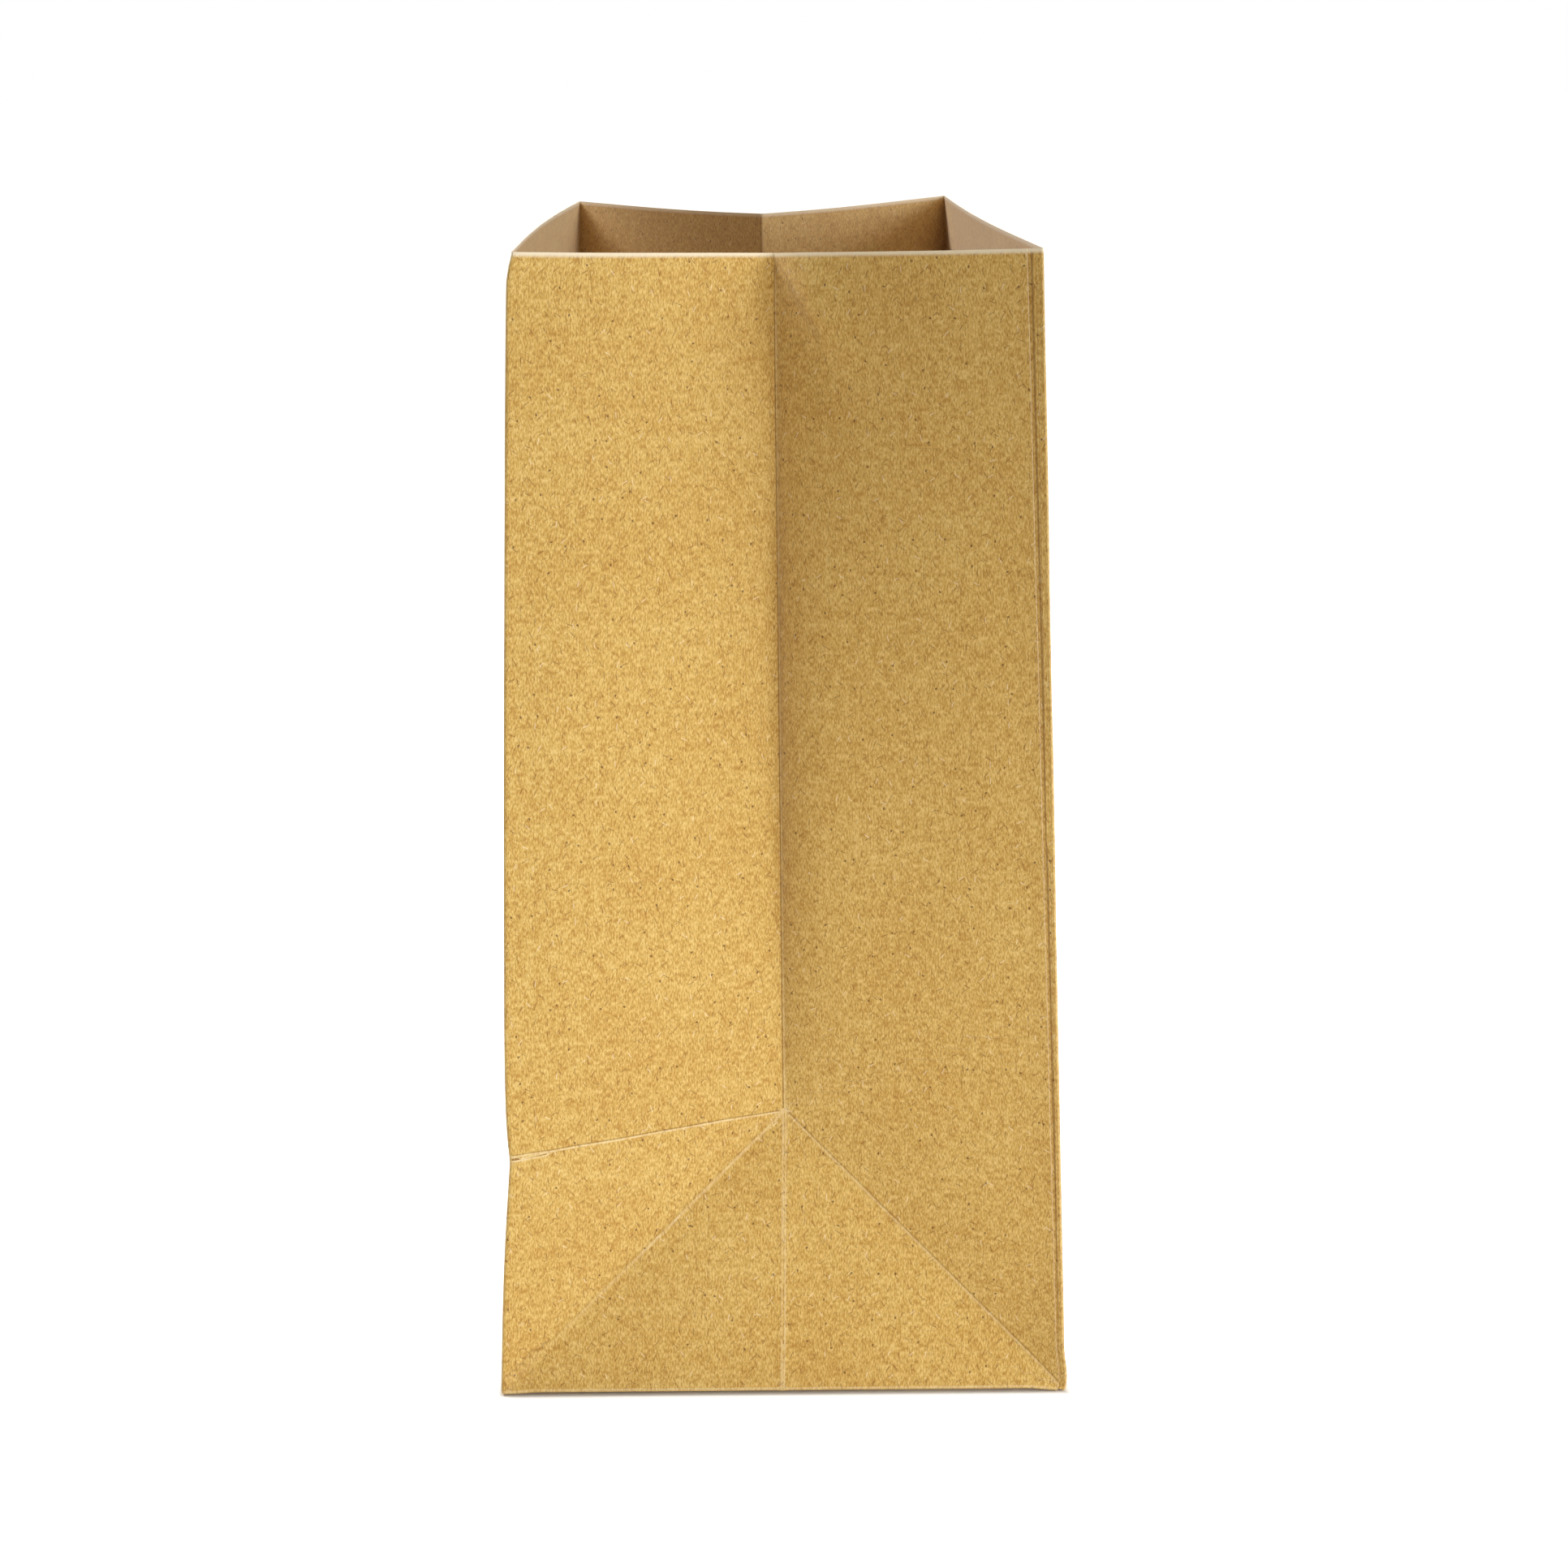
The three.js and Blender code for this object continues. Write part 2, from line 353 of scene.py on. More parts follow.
@dataclass(frozen=True)
class OpenStance:
    """How the folded paper stands when the bag is opened, in millimetres."""

    near_rim_valley: float = 32.0  # depths of the middle folds at the rim and at the base triangles' apexes
    near_apex_valley: float = 17.5
    far_rim_valley: float = 42.0
    far_apex_valley: float = 14.0
    far_middle_valley: float = 38.0  # the far middle fold's rim, less deep as its halves belly in
    far_middle_rise: float = 1.0  # the far rim is cut higher from its middle to its right corner
    far_right_rise: float = 1.2
    far_lean: float = 1.5  # the far rim leans in
    far_shift: float = -3.0  # the far rim stands over to the left
    apex_shift: float = 0.85  # the near triangle's apex stands over to the right
    crease_inset: float = 1.7  # notch in the left folds where the storage crease ends
    low_bow: float = 0.45  # outward bow of the left folds below the crease
    high_bow: float = 1.25  # outward bow of the left folds above the crease
    bow_rise: float = 9.0  # how soon above the crease that bow is reached
    bow_power: float = 2.2  # how late it is lost toward the rim
    rim_tuck: float = 1.1  # the near left corner of the rim is drawn in
    rim_tuck_reach: float = 3.4
    ear: float = 0.55  # the near right base corner stands out
    ear_reach: float = 4.0
    near_swell: float = 2.4  # swell of the near half gussets, most at the rim
    far_swell: float = -3.0
    left_fold_swell: tuple[float, float] = (0.9, 22.0)  # height and reach beside the near middle fold
    right_fold_swell: tuple[float, float] = (3.4, 11.0)
    fold_swell_power: float = 0.8  # below 1, that swell is fullest below mid height
    fold_swell_fade: float = 14.0  # it is lost this near an upright fold
    left_swell: tuple[float, float, float] = (-1.8, 2.0, 1.7)  # crease, middle, rim
    right_swell: tuple[float, float, float] = (0.8, 1.0, -1.7)
    ply_fade: float = 120.0  # how far up a wall the step of its bottom ply is lost
    end_drop: tuple[float, float] = (9.0, 5.0)  # an end flap's slope, from its corners and from its base fold
    fold_round: float = 0.5  # roundness of a pressed fold
    post_round: float = 0.95  # roundness of the four upright folds
    post_reach: float = 3.0  # how far beside an upright fold that roundness is kept
    paste: float = 0.1  # room for paste between the lap and the gusset
    lap_step: float = 1.2  # the run over which the lap steps in behind the gusset
    cut_lift: float = 0.45  # how far the pasted cut edge stands off the lap
    cut_lift_reach: float = 7.0  # how far from the edge that is lost
    cut_lift_rise: float = 9.0  # how far above the base it is reached
    cockle: Cockle = Cockle()


@dataclass(frozen=True)
class WearAndShadeLine:
    """A fold line on the blank, how its wear shows and the shade painted beside it.

    The line runs from start to end, each (along, up) in millimetres. The dark line is painted shade and lies
    on its left hand.
    """

    WANDER: ClassVar[tuple[tuple[float, float], ...]] = ((2.9, 0.0), (5.3, 1.0), (8.7, 2.0))  # length, phase
    BEAD_HALF: ClassVar[float] = 0.5  # half width of a common fold's bead
    BEAD_END: ClassVar[float] = 1.2  # how far past the fold's ends it is lost

    start: tuple[float, float]
    end: tuple[float, float]
    pale: float = 0.0
    # dark: strength of the painted shade beside the line
    dark: float = 0.0
    bead: float = 0.0  # height of the pressed bead
    wide: float = 1.0  # width of the lines, over that of a common fold
    wave: float = 0.0  # how far the line wanders

    def gap(self, along: np.ndarray, up: np.ndarray) -> tuple[np.ndarray, np.ndarray]:
        """Distances from the line.

        Args:
            along: places along the blank.
            up: heights on the blank.

        Returns:
            The signed distance from the line, and the distance past its ends.
        """
        (x0, y0), (x1, y1) = self.start, self.end
        length = math.hypot(x1 - x0, y1 - y0)
        ux, uy = (x1 - x0) / length, (y1 - y0) / length
        run = (along - x0) * ux + (up - y0) * uy
        side = ux * (up - y0) - uy * (along - x0)
        side = side + self.wave * sum(np.sin(run / span + phase) for span, phase in self.WANDER)
        return side, np.maximum(0.0, np.maximum(-run, run - length))

    def relief(self, along: np.ndarray, up: np.ndarray) -> np.ndarray:
        """How far the fold's pressed bead lifts the paper.

        Args:
            along: places along the blank.
            up: heights on the blank.

        Returns:
            The outward distances.
        """
        side, past = self.gap(along, up)
        return self.bead * np.exp(-((side / (self.BEAD_HALF * self.wide)) ** 2) - (past / self.BEAD_END) ** 2)


@dataclass(frozen=True)
class Score:
    """A slanted fold, scored across a part of the flat blank, in millimetres."""

    foot: float  # where its line crosses the base fold, along the blank
    slope: int
    along: tuple[float, float]  # the limits that it is scored between
    up: tuple[float, float]


@dataclass
class FoldedSheet:
    """Carries points of the flat blank to their places on the standing bag."""

    DISC_RINGS: ClassVar[tuple[float, ...]] = (0.5, 1.0)  # of the disc that rounds a fold
    DISC_STEPS: ClassVar[int] = 8
    NORMAL_STEP: ClassVar[float] = 0.3  # how far apart the points are that an outward direction is taken from

    blank: Blank
    stance: OpenStance

    def rim_valley(self, end: End) -> float:
        """Depth of a gusset's middle fold at the rim."""
        return self.stance.near_rim_valley if end is End.NEAR else self.stance.far_rim_valley

    def apex_valley(self, end: End) -> float:
        """Depth of a gusset's middle fold at the apex of its base triangle."""
        return self.stance.near_apex_valley if end is End.NEAR else self.stance.far_apex_valley

    def rim_shift(self, end: End) -> float:
        """How far a gusset's rim stands over to the right."""
        return self.stance.far_shift if end is End.FAR else 0.0

    def corner(self, side: Side, end: End) -> np.ndarray:
        """A corner of the base."""
        return np.array([side.value * self.blank.half, end.value * self.blank.panel / 2, 0.0])

    def post_rim(self, side: Side, end: End) -> np.ndarray:
        """The rim end of an upright fold, which the valley of the gusset draws in.

        Args:
            side: the fold's wide panel.
            end: the fold's gusset.

        Returns:
            The point.
        """
        half, wall = self.blank.half, self.blank.wall
        lean = self.stance.far_lean if end is End.FAR else 0.0
        across = side.value * math.sqrt(half ** 2 - self.rim_valley(end) ** 2) + self.rim_shift(end)
        height = math.sqrt(wall ** 2 - (across - side.value * half) ** 2 - lean ** 2)
        if (side, end) == (Side.RIGHT, End.FAR):
            height += self.stance.far_right_rise
        return np.array([across, end.value * (self.blank.panel / 2 - lean), height])

    def post_crease(self, end: End) -> np.ndarray:
        """The point of a left upright fold where the storage crease ends in a small notch.

        Args:
            end: the fold's gusset.

        Returns:
            The point.
        """
        share = self.blank.crease / self.blank.wall
        point = self.corner(Side.LEFT, end) * (1 - share) + self.post_rim(Side.LEFT, end) * share
        point[0] += self.stance.crease_inset
        return point

    def apex(self, end: End) -> np.ndarray:
        """The apex of a gusset's base triangle.

        Args:
            end: the gusset's end.

        Returns:
            The point.
        """
        depth = self.apex_valley(end)
        height = math.sqrt(self.blank.half ** 2 - depth ** 2)
        shift = self.stance.apex_shift if end is End.NEAR else 0.0
        return np.array([shift, end.value * (self.blank.panel / 2 - depth), height])

    def middle_rim(self, end: End) -> np.ndarray:
        """The rim end of a gusset's middle fold.

        Args:
            end: the gusset's end.

        Returns:
            The point.
        """
        rise, shift = self.blank.wall - self.blank.half, self.rim_shift(end)
        depth = self.stance.near_rim_valley if end is End.NEAR else self.stance.far_middle_valley
        height = math.sqrt(rise ** 2 - (depth - self.apex_valley(end)) ** 2 - shift ** 2)
        if end is End.FAR:
            height += self.stance.far_middle_rise
        return np.array([shift, end.value * (self.blank.panel / 2 - depth), self.apex(end)[2] + height])

    def post_bow(self, side: Side, end: End, up: np.ndarray) -> np.ndarray:
        """How far an upright fold stands out to its side from its straight runs.

        Args:
            side: the fold's wide panel.
            end: the fold's gusset.
            up: heights along the paper.

        Returns:
            The outward distances.
        """
        stance, wall, crease = self.stance, self.blank.wall, self.blank.crease
        if side is Side.RIGHT:
            ear = stance.ear if end is End.NEAR else 0.0
            return ear * np.exp(-(((up - stance.ear_reach) / stance.ear_reach) ** 2))
        low = stance.low_bow * np.sin(np.pi * np.clip(up / crease, 0.0, 1.0))
        rise = np.clip((up - crease) / (wall - crease), 0.0, 1.0)
        spring = 1.0 - np.exp(-rise * (wall - crease) / stance.bow_rise)
        bow = np.where(up < crease, low, stance.high_bow * spring * (1.0 - rise ** stance.bow_power))
        if end is End.NEAR:
            bow = bow - stance.rim_tuck * np.exp(-(((wall - up) / stance.rim_tuck_reach) ** 2))
        return bow

    def post(self, side: Side, end: End, up: np.ndarray) -> np.ndarray:
        """Points of an upright fold.

        Args:
            side: the fold's wide panel.
            end: the fold's gusset.
            up: heights along the paper.

        Returns:
            The points.
        """
        base, rim = self.corner(side, end), self.post_rim(side, end)
        wall, crease = self.blank.wall, self.blank.crease
        points = base + (rim - base) * (up / wall)[:, None]
        if side is Side.LEFT:
            notch = self.post_crease(end)
            low = base + (notch - base) * (up / crease)[:, None]
            high = notch + (rim - notch) * ((up - crease) / (wall - crease))[:, None]
            points = np.where((up < crease)[:, None], low, high)
        points[:, 0] += side.value * self.post_bow(side, end, up)
        return points

    def half_gusset(self, side: Side, end: End, gap: np.ndarray, up: np.ndarray) -> np.ndarray:
        """Points of a half gusset above its diagonal fold.

        Args:
            side: the side whose upright fold bounds the half.
            end: the gusset's end.
            gap: distances from that upright fold.
            up: heights along the paper.

        Returns:
            The points.
        """
        half, wall, crease = self.blank.half, self.blank.wall, self.blank.crease
        share = gap / half
        corner, apex = self.corner(side, end), self.apex(end)
        rim, middle = self.post_rim(side, end), self.middle_rim(end)
        low_line = corner + (apex - corner) * share[:, None]
        rim_line = rim + (middle - rim) * share[:, None]
        if side is Side.RIGHT:
            points = blend_points(low_line, rim_line, (up - gap) / (wall - gap))
        else:
            notch = self.post_crease(end)
            crease_line = notch + (apex - notch) * share[:, None]
            crease_up = crease + (half - crease) * share
            low_rise = (up - gap) / np.maximum(crease_up - gap, TINY)
            low = blend_points(low_line, crease_line, np.clip(low_rise, 0.0, 1.0))
            high = blend_points(crease_line, rim_line, (up - crease_up) / (wall - crease_up))
            points = np.where((up < crease_up)[:, None], low, high)
        fade = np.clip(1.0 - share, 0.0, 1.0) ** 2
        points[:, 0] += side.value * self.post_bow(side, end, up) * fade
        return points

    def gusset_wall(self, end: End, run: np.ndarray, up: np.ndarray) -> np.ndarray:
        """Points of a gusset above the base fold.

        Args:
            end: the gusset's end.
            run: distances from the left upright fold.
            up: heights along the paper.

        Returns:
            The points.
        """
        half, gusset = self.blank.half, self.blank.gusset
        left = self.half_gusset(Side.LEFT, end, np.clip(run, 0.0, half), up)
        right = self.half_gusset(Side.RIGHT, end, np.clip(gusset - run, -half, half), up)
        start, stop = self.corner(Side.LEFT, end), self.corner(Side.RIGHT, end)
        lean = self.apex(end) - (start + stop) / 2
        triangle = start + (stop - start) * (run / gusset)[:, None] + lean * (up / half)[:, None]
        walls = np.where((run < half)[:, None], left, right)
        below = up < np.minimum(run, gusset - run)
        points = np.where(below[:, None], triangle, walls)
        lift = self.end_level(run, np.zeros_like(run))
        points[:, 2] += lift * np.clip(1.0 - up / self.stance.ply_fade, 0.0, 1.0)
        return points

    def panel_wall(self, side: Side, run: np.ndarray, up: np.ndarray) -> np.ndarray:
        """Points of a wide panel above the base fold.

        Args:
            side: the panel.
            run: distances from the near upright fold.
            up: heights along the paper.

        Returns:
            The points.
        """
        near, far = self.post(side, End.NEAR, up), self.post(side, End.FAR, up)
        points = blend_points(near, far, run / self.blank.panel)
        points[:, 2] += Ply[side.name].value * np.clip(1.0 - up / self.stance.ply_fade, 0.0, 1.0)
        return points

    def end_level(self, run: np.ndarray, deep: np.ndarray) -> np.ndarray:
        """Height of a gusset's end flap, which comes down to the panels' flaps at its corners.

        Args:
            run: distances from the left upright fold.
            deep: distances in from the base fold.

        Returns:
            The heights.
        """
        gap = np.minimum(run, self.blank.gusset - run)
        from_corner, from_fold = self.stance.end_drop
        share = np.maximum(smooth_step(gap / from_corner), smooth_step(deep / from_fold))
        side = np.where(run < self.blank.half, Ply.LEFT.value, Ply.RIGHT.value)
        return side + (Ply.END.value - side) * share

    def end_flap(self, end: End, run: np.ndarray, deep: np.ndarray) -> np.ndarray:
        """Points of a gusset's end flap.

        Args:
            end: the gusset's end.
            run: distances from the left upright fold.
            deep: distances in from the base fold.

        Returns:
            The points.
        """
        inward = end.value * (self.blank.panel / 2 - deep)
        return np.stack([run - self.blank.half, inward, self.end_level(run, deep)], axis=1)

    def panel_flap(self, side: Side, run: np.ndarray, deep: np.ndarray) -> np.ndarray:
        """Points of a wide panel's bottom flap and of the webs that join it to the end flaps.

        Args:
            side: the panel.
            run: distances from the near upright fold.
            deep: distances in from the base fold.

        Returns:
            The points.
        """
        panel, half, level = self.blank.panel, self.blank.half, Ply[side.name].value
        gap = np.minimum(run, panel - run)
        end = np.where(run < panel / 2, End.NEAR.value, End.FAR.value)
        flap = np.stack([side.value * (half - deep), run - panel / 2, np.full_like(run, level)], axis=1)
        web_level = level + (Ply.WEB.value - level) * smooth_step(deep - gap)
        web = np.stack([side.value * (half - gap), end * (panel / 2 - deep), web_level], axis=1)
        return np.where((gap >= deep)[:, None], flap, web)

    def strip_points(self, strip: Strip, run: np.ndarray, up: np.ndarray) -> np.ndarray:
        """Points of one strip of the blank, on its wall and on its bottom flap.

        Args:
            strip: the strip.
            run: distances across the strip.
            up: heights on the blank, below 0 on the flap.

        Returns:
            The points.
        """
        wall_up, deep = np.maximum(up, 0.0), np.maximum(-up, 0.0)
        if strip in (Strip.LEFT, Strip.RIGHT):
            side = Side[strip.name]
            wall, flap = self.panel_wall(side, run, wall_up), self.panel_flap(side, run, deep)
        else:
            end = End.FAR if strip is Strip.FAR else End.NEAR
            wall, flap = self.gusset_wall(end, run, wall_up), self.end_flap(end, run, deep)
        return np.where((up >= 0)[:, None], wall, flap)

    def place(self, along: np.ndarray, up: np.ndarray) -> np.ndarray:
        """Fold points of the blank with sharp folds.

        Args:
            along: places along the blank.
            up: heights on the blank, below 0 on the bottom flaps.

        Returns:
            The folded points in millimetres, one row each.
        """
        points = np.zeros((len(along), 3))
        for strip, chosen in self.blank.strips(along).items():
            points[chosen] = self.strip_points(strip, self.blank.run(strip, along[chosen]), up[chosen])
        return points

    def rounded(self, along: np.ndarray, up: np.ndarray) -> np.ndarray:
        """Fold points with every fold rounded, by averaging the sharp fold over a small disc of the sheet.

        Args:
            along: places along the blank.
            up: heights on the blank.

        Returns:
            The folded points.
        """
        stance = self.stance
        post_gap = np.min([np.abs(along - post) for post in (0.0, *self.blank.posts)], axis=0)
        near_post = np.exp(-(post_gap / stance.post_reach) ** 2)
        reach = stance.fold_round + (stance.post_round - stance.fold_round) * near_post
        total = self.place(along, up)
        for ring in self.DISC_RINGS:
            for step in range(self.DISC_STEPS):
                angle = math.tau * (step + 0.5 * ring) / self.DISC_STEPS
                across, rise = reach * ring * math.cos(angle), reach * ring * math.sin(angle)
                total += self.place(along + across, up + rise)
        return total / (1 + len(self.DISC_RINGS) * self.DISC_STEPS)

    def normals(self, along: np.ndarray, up: np.ndarray) -> np.ndarray:
        """Outward directions of the rounded sheet.

        Args:
            along: places along the blank.
            up: heights on the blank.

        Returns:
            Unit vectors, one row each.
        """
        step = self.NORMAL_STEP
        across = self.rounded(along + step, up) - self.rounded(along - step, up)
        rise = self.rounded(along, up + step) - self.rounded(along, up - step)
        normal = np.cross(rise, across)
        return normal / np.maximum(np.linalg.norm(normal, axis=1, keepdims=True), TINY)

    def panel_swell(self, side: Side, run: np.ndarray, up: np.ndarray) -> np.ndarray:
        """Swell of a wide panel: none at the base, then its crease, middle and rim values.

        Args:
            side: the panel.
            run: distances from the near upright fold.
            up: heights along the paper.

        Returns:
            The outward distances.
        """
        swell = self.stance.left_swell if side is Side.LEFT else self.stance.right_swell
        at_crease, at_middle, at_rim = swell
        crease, wall = self.blank.crease, self.blank.wall
        rise = np.clip((up - crease) / (wall - crease), 0.0, 1.0)
        high = at_crease + (at_rim - at_crease) * rise + at_middle * np.sin(np.pi * rise)
        low = at_crease * np.clip(up / crease, 0.0, 1.0)
        return np.where(up < crease, low, high) * np.sin(np.pi * np.clip(run / self.blank.panel, 0.0, 1.0))

    def gusset_swell(self, end: End, run: np.ndarray, up: np.ndarray) -> np.ndarray:
        """Swell of the half gussets above the base triangle.

        Args:
            end: the gusset's end.
            run: distances from the left upright fold.
            up: heights along the paper.

        Returns:
            The outward distances.
        """
        stance, half = self.stance, self.blank.half
        gap = np.clip(np.minimum(run, self.blank.gusset - run), 0.0, half)
        rise = np.clip((up - half) / (self.blank.wall - half), 0.0, 1.0)
        if end is End.FAR:
            return stance.far_swell * rise ** 2 * np.sin(np.pi * gap / half)
        broad = stance.near_swell * rise * np.sin(np.pi * gap / half)
        on_left = run < half
        height = np.where(on_left, stance.left_fold_swell[0], stance.right_fold_swell[0])
        steps = (half - gap) / np.where(on_left, stance.left_fold_swell[1], stance.right_fold_swell[1])
        upright = height * np.sin(np.pi * rise ** stance.fold_swell_power)
        return broad + upright * steps * np.exp(1.0 - steps) * smooth_step(gap / stance.fold_swell_fade)

    def relief(self, along: np.ndarray, up: np.ndarray, folds: Sequence[WearAndShadeLine],
               dents: Sequence[Dent]) -> np.ndarray:
        """How far the paper stands out from its plain fold.

        Args:
            along: places along the blank.
            up: heights on the blank.
            folds: worn folds, whose pressed beads stand proud.
            dents: soft bulges and hollows.

        Returns:
            The outward distances.
        """
        blank, stance = self.blank, self.stance
        total = stance.cockle.relief(along, up, blank.wall)
        for strip, chosen in blank.strips(along).items():
            run = blank.run(strip, along[chosen])
            if strip in (Strip.LEFT, Strip.RIGHT):
                total[chosen] += self.panel_swell(Side[strip.name], run, up[chosen])
            else:
                end = End.FAR if strip is Strip.FAR else End.NEAR
                total[chosen] += self.gusset_swell(end, run, up[chosen])
        lap_run = along - blank.lap_start
        behind = (blank.paper + stance.paste) * smooth_step(lap_run / stance.lap_step)
        total -= np.where(lap_run > 0, behind, 0.0)
        lift_run = np.clip((along - blank.cut_inset(up)) / stance.cut_lift_reach, 0.0, 1.0)
        total += stance.cut_lift * (1.0 - lift_run) ** 2 * smooth_step(up / stance.cut_lift_rise)
        for mark in (*(fold for fold in folds if fold.bead), *dents):
            total += mark.relief(along, up)
        return total

    def standing(self, along: np.ndarray, up: np.ndarray, folds: Sequence[WearAndShadeLine],
                 dents: Sequence[Dent]) -> np.ndarray:
        """Points of the standing bag, with rounded folds, swell and handling marks.

        Args:
            along: places along the blank.
            up: heights on the blank.
            folds: worn folds.
            dents: soft bulges and hollows.

        Returns:
            The points in metres, none below the floor.
        """
        points = self.rounded(along, up)
        points += self.normals(along, up) * self.relief(along, up, folds, dents)[:, None]
        points[:, 2] = np.maximum(points[:, 2], Ply.RIGHT.value)
        return points * MM


@dataclass
class BlankGrid:
    """The lines that the flat blank is divided by, dense beside every fold."""

    blank: Blank
    fold_steps: tuple[float, ...] = (0.0, 0.35, 0.75, 1.3, 2.0, 3.0, 4.4, 6.0)
    valley_steps: tuple[float, ...] = (0.0, 0.3, 0.6, 1.0, 1.6, 2.5, 3.8, 5.4)
    flap_steps: tuple[float, ...] = (0.0, 0.35, 0.75, 1.3, 2.0, 3.0, 4.4, 6.0, 9.5)
    above_crease: tuple[float, ...] = (0.4, 0.8, 1.4, 2.2, 3.4)
    below_rim: tuple[float, ...] = (3.0, 1.6, 0.8, 0.4, 0.0)
    half_step: float = 1.75
    panel_step: float = 5.6
    wall_step: float = 3.0
    edge_step: float = 0.6  # beside the pasted cut edge
    lap_steps: int = 5

    def shares(self) -> np.ndarray:
        """Shares of a half gusset, which set its columns and lower rows alike, so the diagonals meet corners.

        Returns:
            The shares, from 0 at the upright fold to 1 at the middle fold.
        """
        half = self.blank.half
        first, last = self.fold_steps[-1], half - self.valley_steps[-1]
        count = round((last - first) / self.half_step)
        middle = np.linspace(first, last, count + 1)
        ends = [half - step for step in reversed(self.valley_steps[:-1])]
        return np.concatenate([self.fold_steps[:-1], middle, ends]) / half

    def flap_rows(self) -> np.ndarray:
        """Depths of the bottom flaps' rows, shared by the panels' columns, so the corner folds meet corners.

        Returns:
            The depths.
        """
        first, last = self.flap_steps[-1], self.blank.flap
        count = round((last - first) / self.panel_step)
        return np.concatenate([self.flap_steps[:-1], np.linspace(first, last, count + 1)])

    def columns(self) -> np.ndarray:
        """Places of the columns along the blank, before the first cut edge takes its slant.

        Returns:
            The places.
        """
        blank, shares = self.blank, self.shares()
        right_half = blank.half * shares
        climb = (blank.half - blank.crease) / blank.half
        left_half = blank.crease * shares / (1.0 - climb * shares)
        flap = self.flap_rows()
        count = round((blank.panel - 2 * blank.flap) / self.panel_step)
        middle = np.linspace(blank.flap, blank.panel - blank.flap, count + 1)
        panel = np.concatenate([flap[:-1], middle, blank.panel - flap[:-1][::-1]])
        edge = blank.cut_inset_base + np.array([0.0, self.edge_step])
        # nearer columns than these would lie past the cut edge where it slants away from the fold
        past_edge = right_half[right_half > self.fold_steps[-2]]
        near = np.concatenate([edge, past_edge, (blank.gusset - left_half[:-1])[::-1]])
        far = np.concatenate([left_half, (blank.gusset - right_half[:-1])[::-1]])
        lap_end = np.linspace(self.fold_steps[-1], blank.lap, self.lap_steps + 1)
        lap = np.concatenate([self.fold_steps, lap_end[1:]])
        parts = [near, blank.left_start + panel[1:], blank.far_start + far[1:]]
        parts += [blank.right_start + panel[1:], blank.lap_start + lap[1:]]
        return np.concatenate(parts)

    def rows(self) -> np.ndarray:
        """Levels of the rows: below 0 on the flaps, 0 to 1 up to the crease, 1 to 2 up to the rim.

        Returns:
            The levels.
        """
        rise = self.blank.wall - self.blank.half
        starts, ends = np.array(self.above_crease), rise - np.array(self.below_rim)
        count = round((ends[0] - starts[-1]) / self.wall_step)
        upper = np.concatenate([starts[:-1], np.linspace(starts[-1], ends[0], count + 1), ends[1:]])
        flap = -self.flap_rows()[:0:-1] / self.blank.flap
        return np.concatenate([flap, self.shares(), 1.0 + upper / rise])

    def laid_out(self) -> tuple[np.ndarray, np.ndarray]:
        """Places of the grid's corners on the flat blank.

        Returns:
            Two arrays, along and up, each with one row of corners per grid row.
        """
        blank = self.blank
        along, level = np.meshgrid(self.columns(), self.rows())
        crease = blank.crease_height(along)
        high = crease + (blank.wall - crease) * (level - 1.0)
        up = np.where(level < 0, level * blank.flap, np.where(level <= 1.0, crease * level, high))
        slant = blank.cut_inset(up[:, 0])
        along[:, 0], along[:, 1] = slant, slant + self.edge_step
        return along, up


